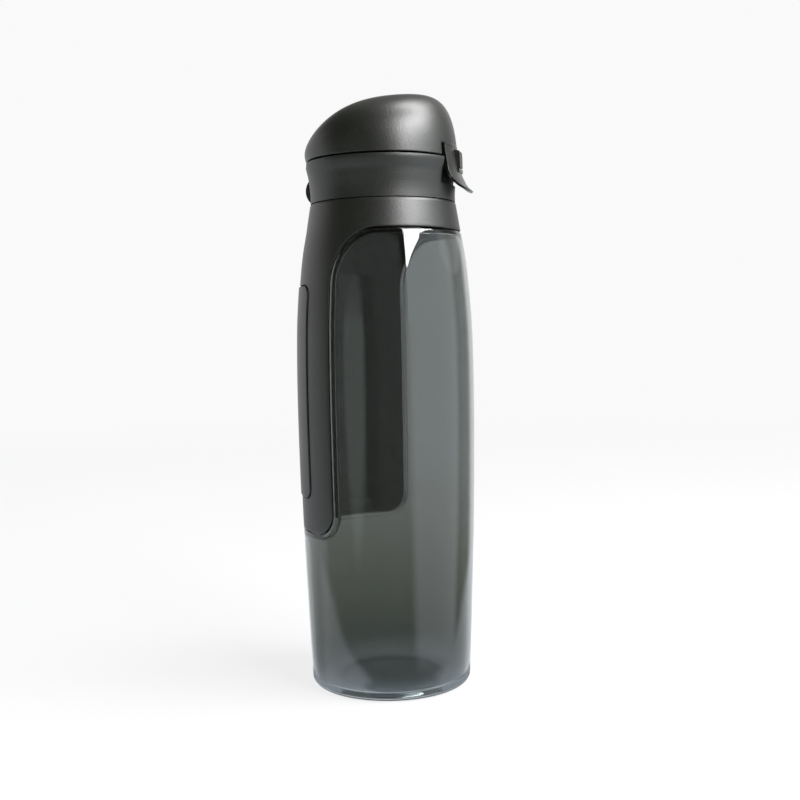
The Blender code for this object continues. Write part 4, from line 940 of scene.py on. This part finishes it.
curve_steps = np.hypot(np.diff(curve_reach), np.diff(curve_rise) * 0.75)
curve_length = np.append(0.0, np.cumsum(curve_steps))


def roof(share):
    """Height of the dome over its rim: a cubic in the place along the lid, as a share of radius."""
    return DOME_HEIGHT * sum(factor * share**power for power, factor in enumerate(ROOF))


def dome_rows(turn, start, end, steps):
    """Rows of the dome for columns of turns, from one length along its profile to another: radius
    is the radius times the cosine to the squircle's power, rise the sine to that power times the
    roof's height there. Going up, the front is drawn in by the draft and the back swells out."""
    length = ruled(start, end, steps)
    reach = DOME_RADIUS * np.interp(length, curve_length, curve_reach)
    rise = np.interp(length, curve_length, curve_rise)
    along, across = reach * np.cos(turn), reach * np.sin(turn)
    lean = along / DOME_RADIUS
    draft = 1.0 - np.where(lean > 0.0, DOME_DRAFT, DOME_SWELL) * rise * lean
    return gather(along * draft, across * draft, DOME_LOW + rise * roof(lean))


front_turn = math.asin(TONGUE_SLOT[0] / DOME_RADIUS)
back_turn = math.pi - math.asin(EAR_SLOT[0] / DOME_RADIUS)
dome_turns = np.concatenate((ruled(0.0, front_turn, FRONT_COLUMNS),
                             ruled(front_turn, back_turn, MIDDLE_COLUMNS)[1:],
                             ruled(back_turn, math.pi, BACK_END_COLUMNS)[1:]))
split_height = np.interp(dome_turns, (0.0, front_turn, back_turn, math.pi),
                         (TONGUE_SLOT[1], TONGUE_SLOT[1], EAR_SLOT[1], EAR_SLOT[1]))
split_rise = (split_height - DOME_LOW) / roof(np.cos(dome_turns) * 0.997)
split = np.interp(split_rise, curve_rise, curve_length)
between = slice(FRONT_COLUMNS, FRONT_COLUMNS + MIDDLE_COLUMNS + 1)
dome_shapes = both_sides([
    dome_rows(dome_turns, split, curve_length[-1], 44),
    dome_rows(dome_turns[between], 0.0, split[between], 12)])
dome_paint = grained_plastic("dome_charcoal", CHARCOAL, 0.40)
dome = make_piece("flip_dome", [lid_place(patch) for patch in dome_shapes], "dome", "dome_lid",
                  dome_paint, sharp=60.0)
first = dome.data.polygons[0]
if first.normal.dot(first.center) < 0:
    dome.data.flip_normals()
dome_wall = dome.modifiers.new("wall", "SOLIDIFY")
dome_wall.thickness, dome_wall.offset = DOME_WALL, -1.0
dome_wall.use_even_offset = dome_wall.use_quality_normals = True
soften(dome, DOME_EDGE)

boss_top = DOME_LOW + roof(SPOUT_X / DOME_RADIUS) - DOME_WALL / 2
boss = on_spout_axis(knuckle_rows(BOSS_LOW, boss_top, BOSS_RADIUS, 0.4 * MM, 48))
knuckle = on_lid_axis(knuckle_rows(*LID_WEB[:, 1], LID_KNUCKLE, 0.3 * MM, 40))
dome_inside = make_piece("dome_knuckle", [lid_place(block_rows(*LID_WEB)), boss,
                                          lid_place(knuckle)],
                         "dome", "dome_lid", dome_paint, replaces=False)
soften(dome_inside, 0.3 * MM)


# Seal under the dome
# Soft grey silicone plug pressed on the dome's boss: a disc that lies on the spout's lip, with a
# short nub that goes into its bore.
SEAL_PROFILE = np.array((
    (0.0, 251.9), (4.2, 251.9), (4.3, 252.1), (4.3, 253.9), (4.4, 254.0), (8.2, 254.0),
    (8.9, 253.7), (9.4, 253.2), (9.6, 252.6), (9.6, 251.2), (9.45, 250.85), (9.2, 250.8),
    (5.9, 250.8), (5.6, 250.6), (5.4, 249.9), (5.1, 249.55), (4.6, 249.5), (0.0, 249.5))) * MM
make_piece("seal_plug", [on_spout_axis(turned_rows(SEAL_PROFILE, full_turn))], "dome",
           "spout_seal", soft_silicone("seal_silicone", SILICONE, 0.5))


# Latch tongue
# Thin charcoal tongue that continues the dome's side and flares out at its foot for the thumb. Its
# window snaps over the cap's hook, and a bar under the window takes the pull.
TONGUE_TOP = 239.3 * MM
TONGUE_LENGTH = 19.46 * MM
TONGUE_FLARE = 7.0 * MM
TONGUE_HALF = 13.35 * MM
TONGUE_STRAIGHT = 12.2 * MM
TONGUE_THICK, TONGUE_EDGE = 1.7 * MM, 0.4 * MM
LIP_THINNING = 0.42
WINDOW, WINDOW_CORNER = (4.2 * MM, 229.6 * MM, 238.0 * MM), 0.9 * MM
FLARE = np.array(((0.000, -0.050), (0.192, 0.021), (0.365, 0.120), (0.519, 0.193), (0.644, 0.300),
                  (0.750, 0.435), (0.874, 0.625), (0.945, 0.800), (1.000, 1.000)))
BAR = np.array(((33.4, -4.4, 228.0), (35.8, 4.4, 229.7))) * MM
TOP_COLUMNS, SIDE_COLUMNS, TIP_COLUMNS = 14, 26, 34


def tongue_points(flat, depth):
    """Bend (across, height) points with the dome: the radius grows with the drop from the top, and
    the depth is measured square to the face, along the normal of that flare."""
    drop = (TONGUE_TOP - flat[..., 1]) / TONGUE_LENGTH
    step = 0.01
    flare, before, after = (smooth_curve(drop + shift, *FLARE.T) for shift in (0.0, -step, step))
    slope = (after - before) / (2 * step) * TONGUE_FLARE / TONGUE_LENGTH
    size = np.sqrt(1.0 + slope**2)
    depth = depth * (1.0 - LIP_THINNING * drop.clip(0.0, 1.0)**2)
    reach = DOME_RADIUS + flare * TONGUE_FLARE + depth / size
    return round_axis(reach, flat[..., 0] / DOME_RADIUS, flat[..., 1] + depth * slope / size)


def window_line(half, low, high, corner):
    """Right half of a rounded opening, from the middle of its top to the middle of its foot, with
    as many points as the tongue's outline."""
    return np.concatenate((
        ruled((0.0, high), (half - corner, high), TOP_COLUMNS - 4),
        arc_points(half - corner, high - corner, corner, 90, 0, 8)[1:],
        ruled((half, high - corner), (half, low + corner), SIDE_COLUMNS - 8)[1:-1],
        arc_points(half - corner, low + corner, corner, 0, -90, 8),
        ruled((half - corner, low), (0.0, low), TIP_COLUMNS - 4)[1:]))


tongue_knee = TONGUE_TOP - TONGUE_STRAIGHT
tip = ruled(0.0, math.pi / 2, TIP_COLUMNS)[1:]
tongue_outline = np.concatenate((
    ruled((0.0, TONGUE_TOP), (TONGUE_HALF, TONGUE_TOP), TOP_COLUMNS),
    ruled((TONGUE_HALF, TONGUE_TOP), (TONGUE_HALF, tongue_knee), SIDE_COLUMNS)[1:],
    gather(TONGUE_HALF * np.cos(tip),
           tongue_knee - (TONGUE_LENGTH - TONGUE_STRAIGHT) * np.sin(tip))))
window_outline = window_line(*WINDOW, WINDOW_CORNER)
face_rows = ruled(tongue_outline, window_outline, 12)
edge_depth = -TONGUE_THICK * np.linspace(0.0, 1.0, 4)[:, None]
tongue_shapes = both_sides([
    tongue_points(face_rows, 0.0), tongue_points(face_rows, -TONGUE_THICK),
    tongue_points(tongue_outline, edge_depth), tongue_points(window_outline, edge_depth)])
tongue_paint = grained_plastic("tongue_charcoal", CHARCOAL, 0.34, depth=0.08 * MM)
tongue = make_piece("thumb_latch",
                    [lid_place(patch) for patch in tongue_shapes + [block_rows(*BAR)]],
                    "latch", "latch_tongue", tongue_paint)
soften(tongue, TONGUE_EDGE, 3)


# Bending strip of the latch
# The thin web of the same charcoal that joins tongue and dome, flush with both. It is moulded with
# them and bends on the real lid when the thumb lifts the tongue; here it is a fixed sheet on no
# body.
STRIP_MIDDLE, STRIP_REACH, STRIP_LEAN = 239.4, 33.54 * MM, 0.133
STRIP_THICK = 0.7 * MM
STRIP_ENDS = np.array(((33.5, 0.0, 240.0), (33.5, 0.0, 238.8))) * MM
# Its reach is the middle's, less the lean times the height, and sinks at both edges.
strip_heights = np.linspace(238.3, 240.5, 15)[:, None]
strip_turn = np.linspace(-13.0, 13.0, 33) * MM / DOME_RADIUS
strip_sunk = np.clip(np.abs(strip_heights - STRIP_MIDDLE) - 0.55, 0.0, 1.0) ** 1.5 / 0.41
strip_reach = (STRIP_REACH - STRIP_LEAN * (strip_heights - STRIP_MIDDLE) * MM
               + (0.10 - 0.30 * strip_sunk) * MM)
faces = [lid_place(round_axis(strip_reach - depth, strip_turn, strip_heights * MM))
         for depth in (0.0, STRIP_THICK)]
strip = make_piece("latch_strip", plate(*faces), None, "latch_tongue", tongue_paint,
                   replaces=False)
start, end = lid_place(STRIP_ENDS)
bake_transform(strip)
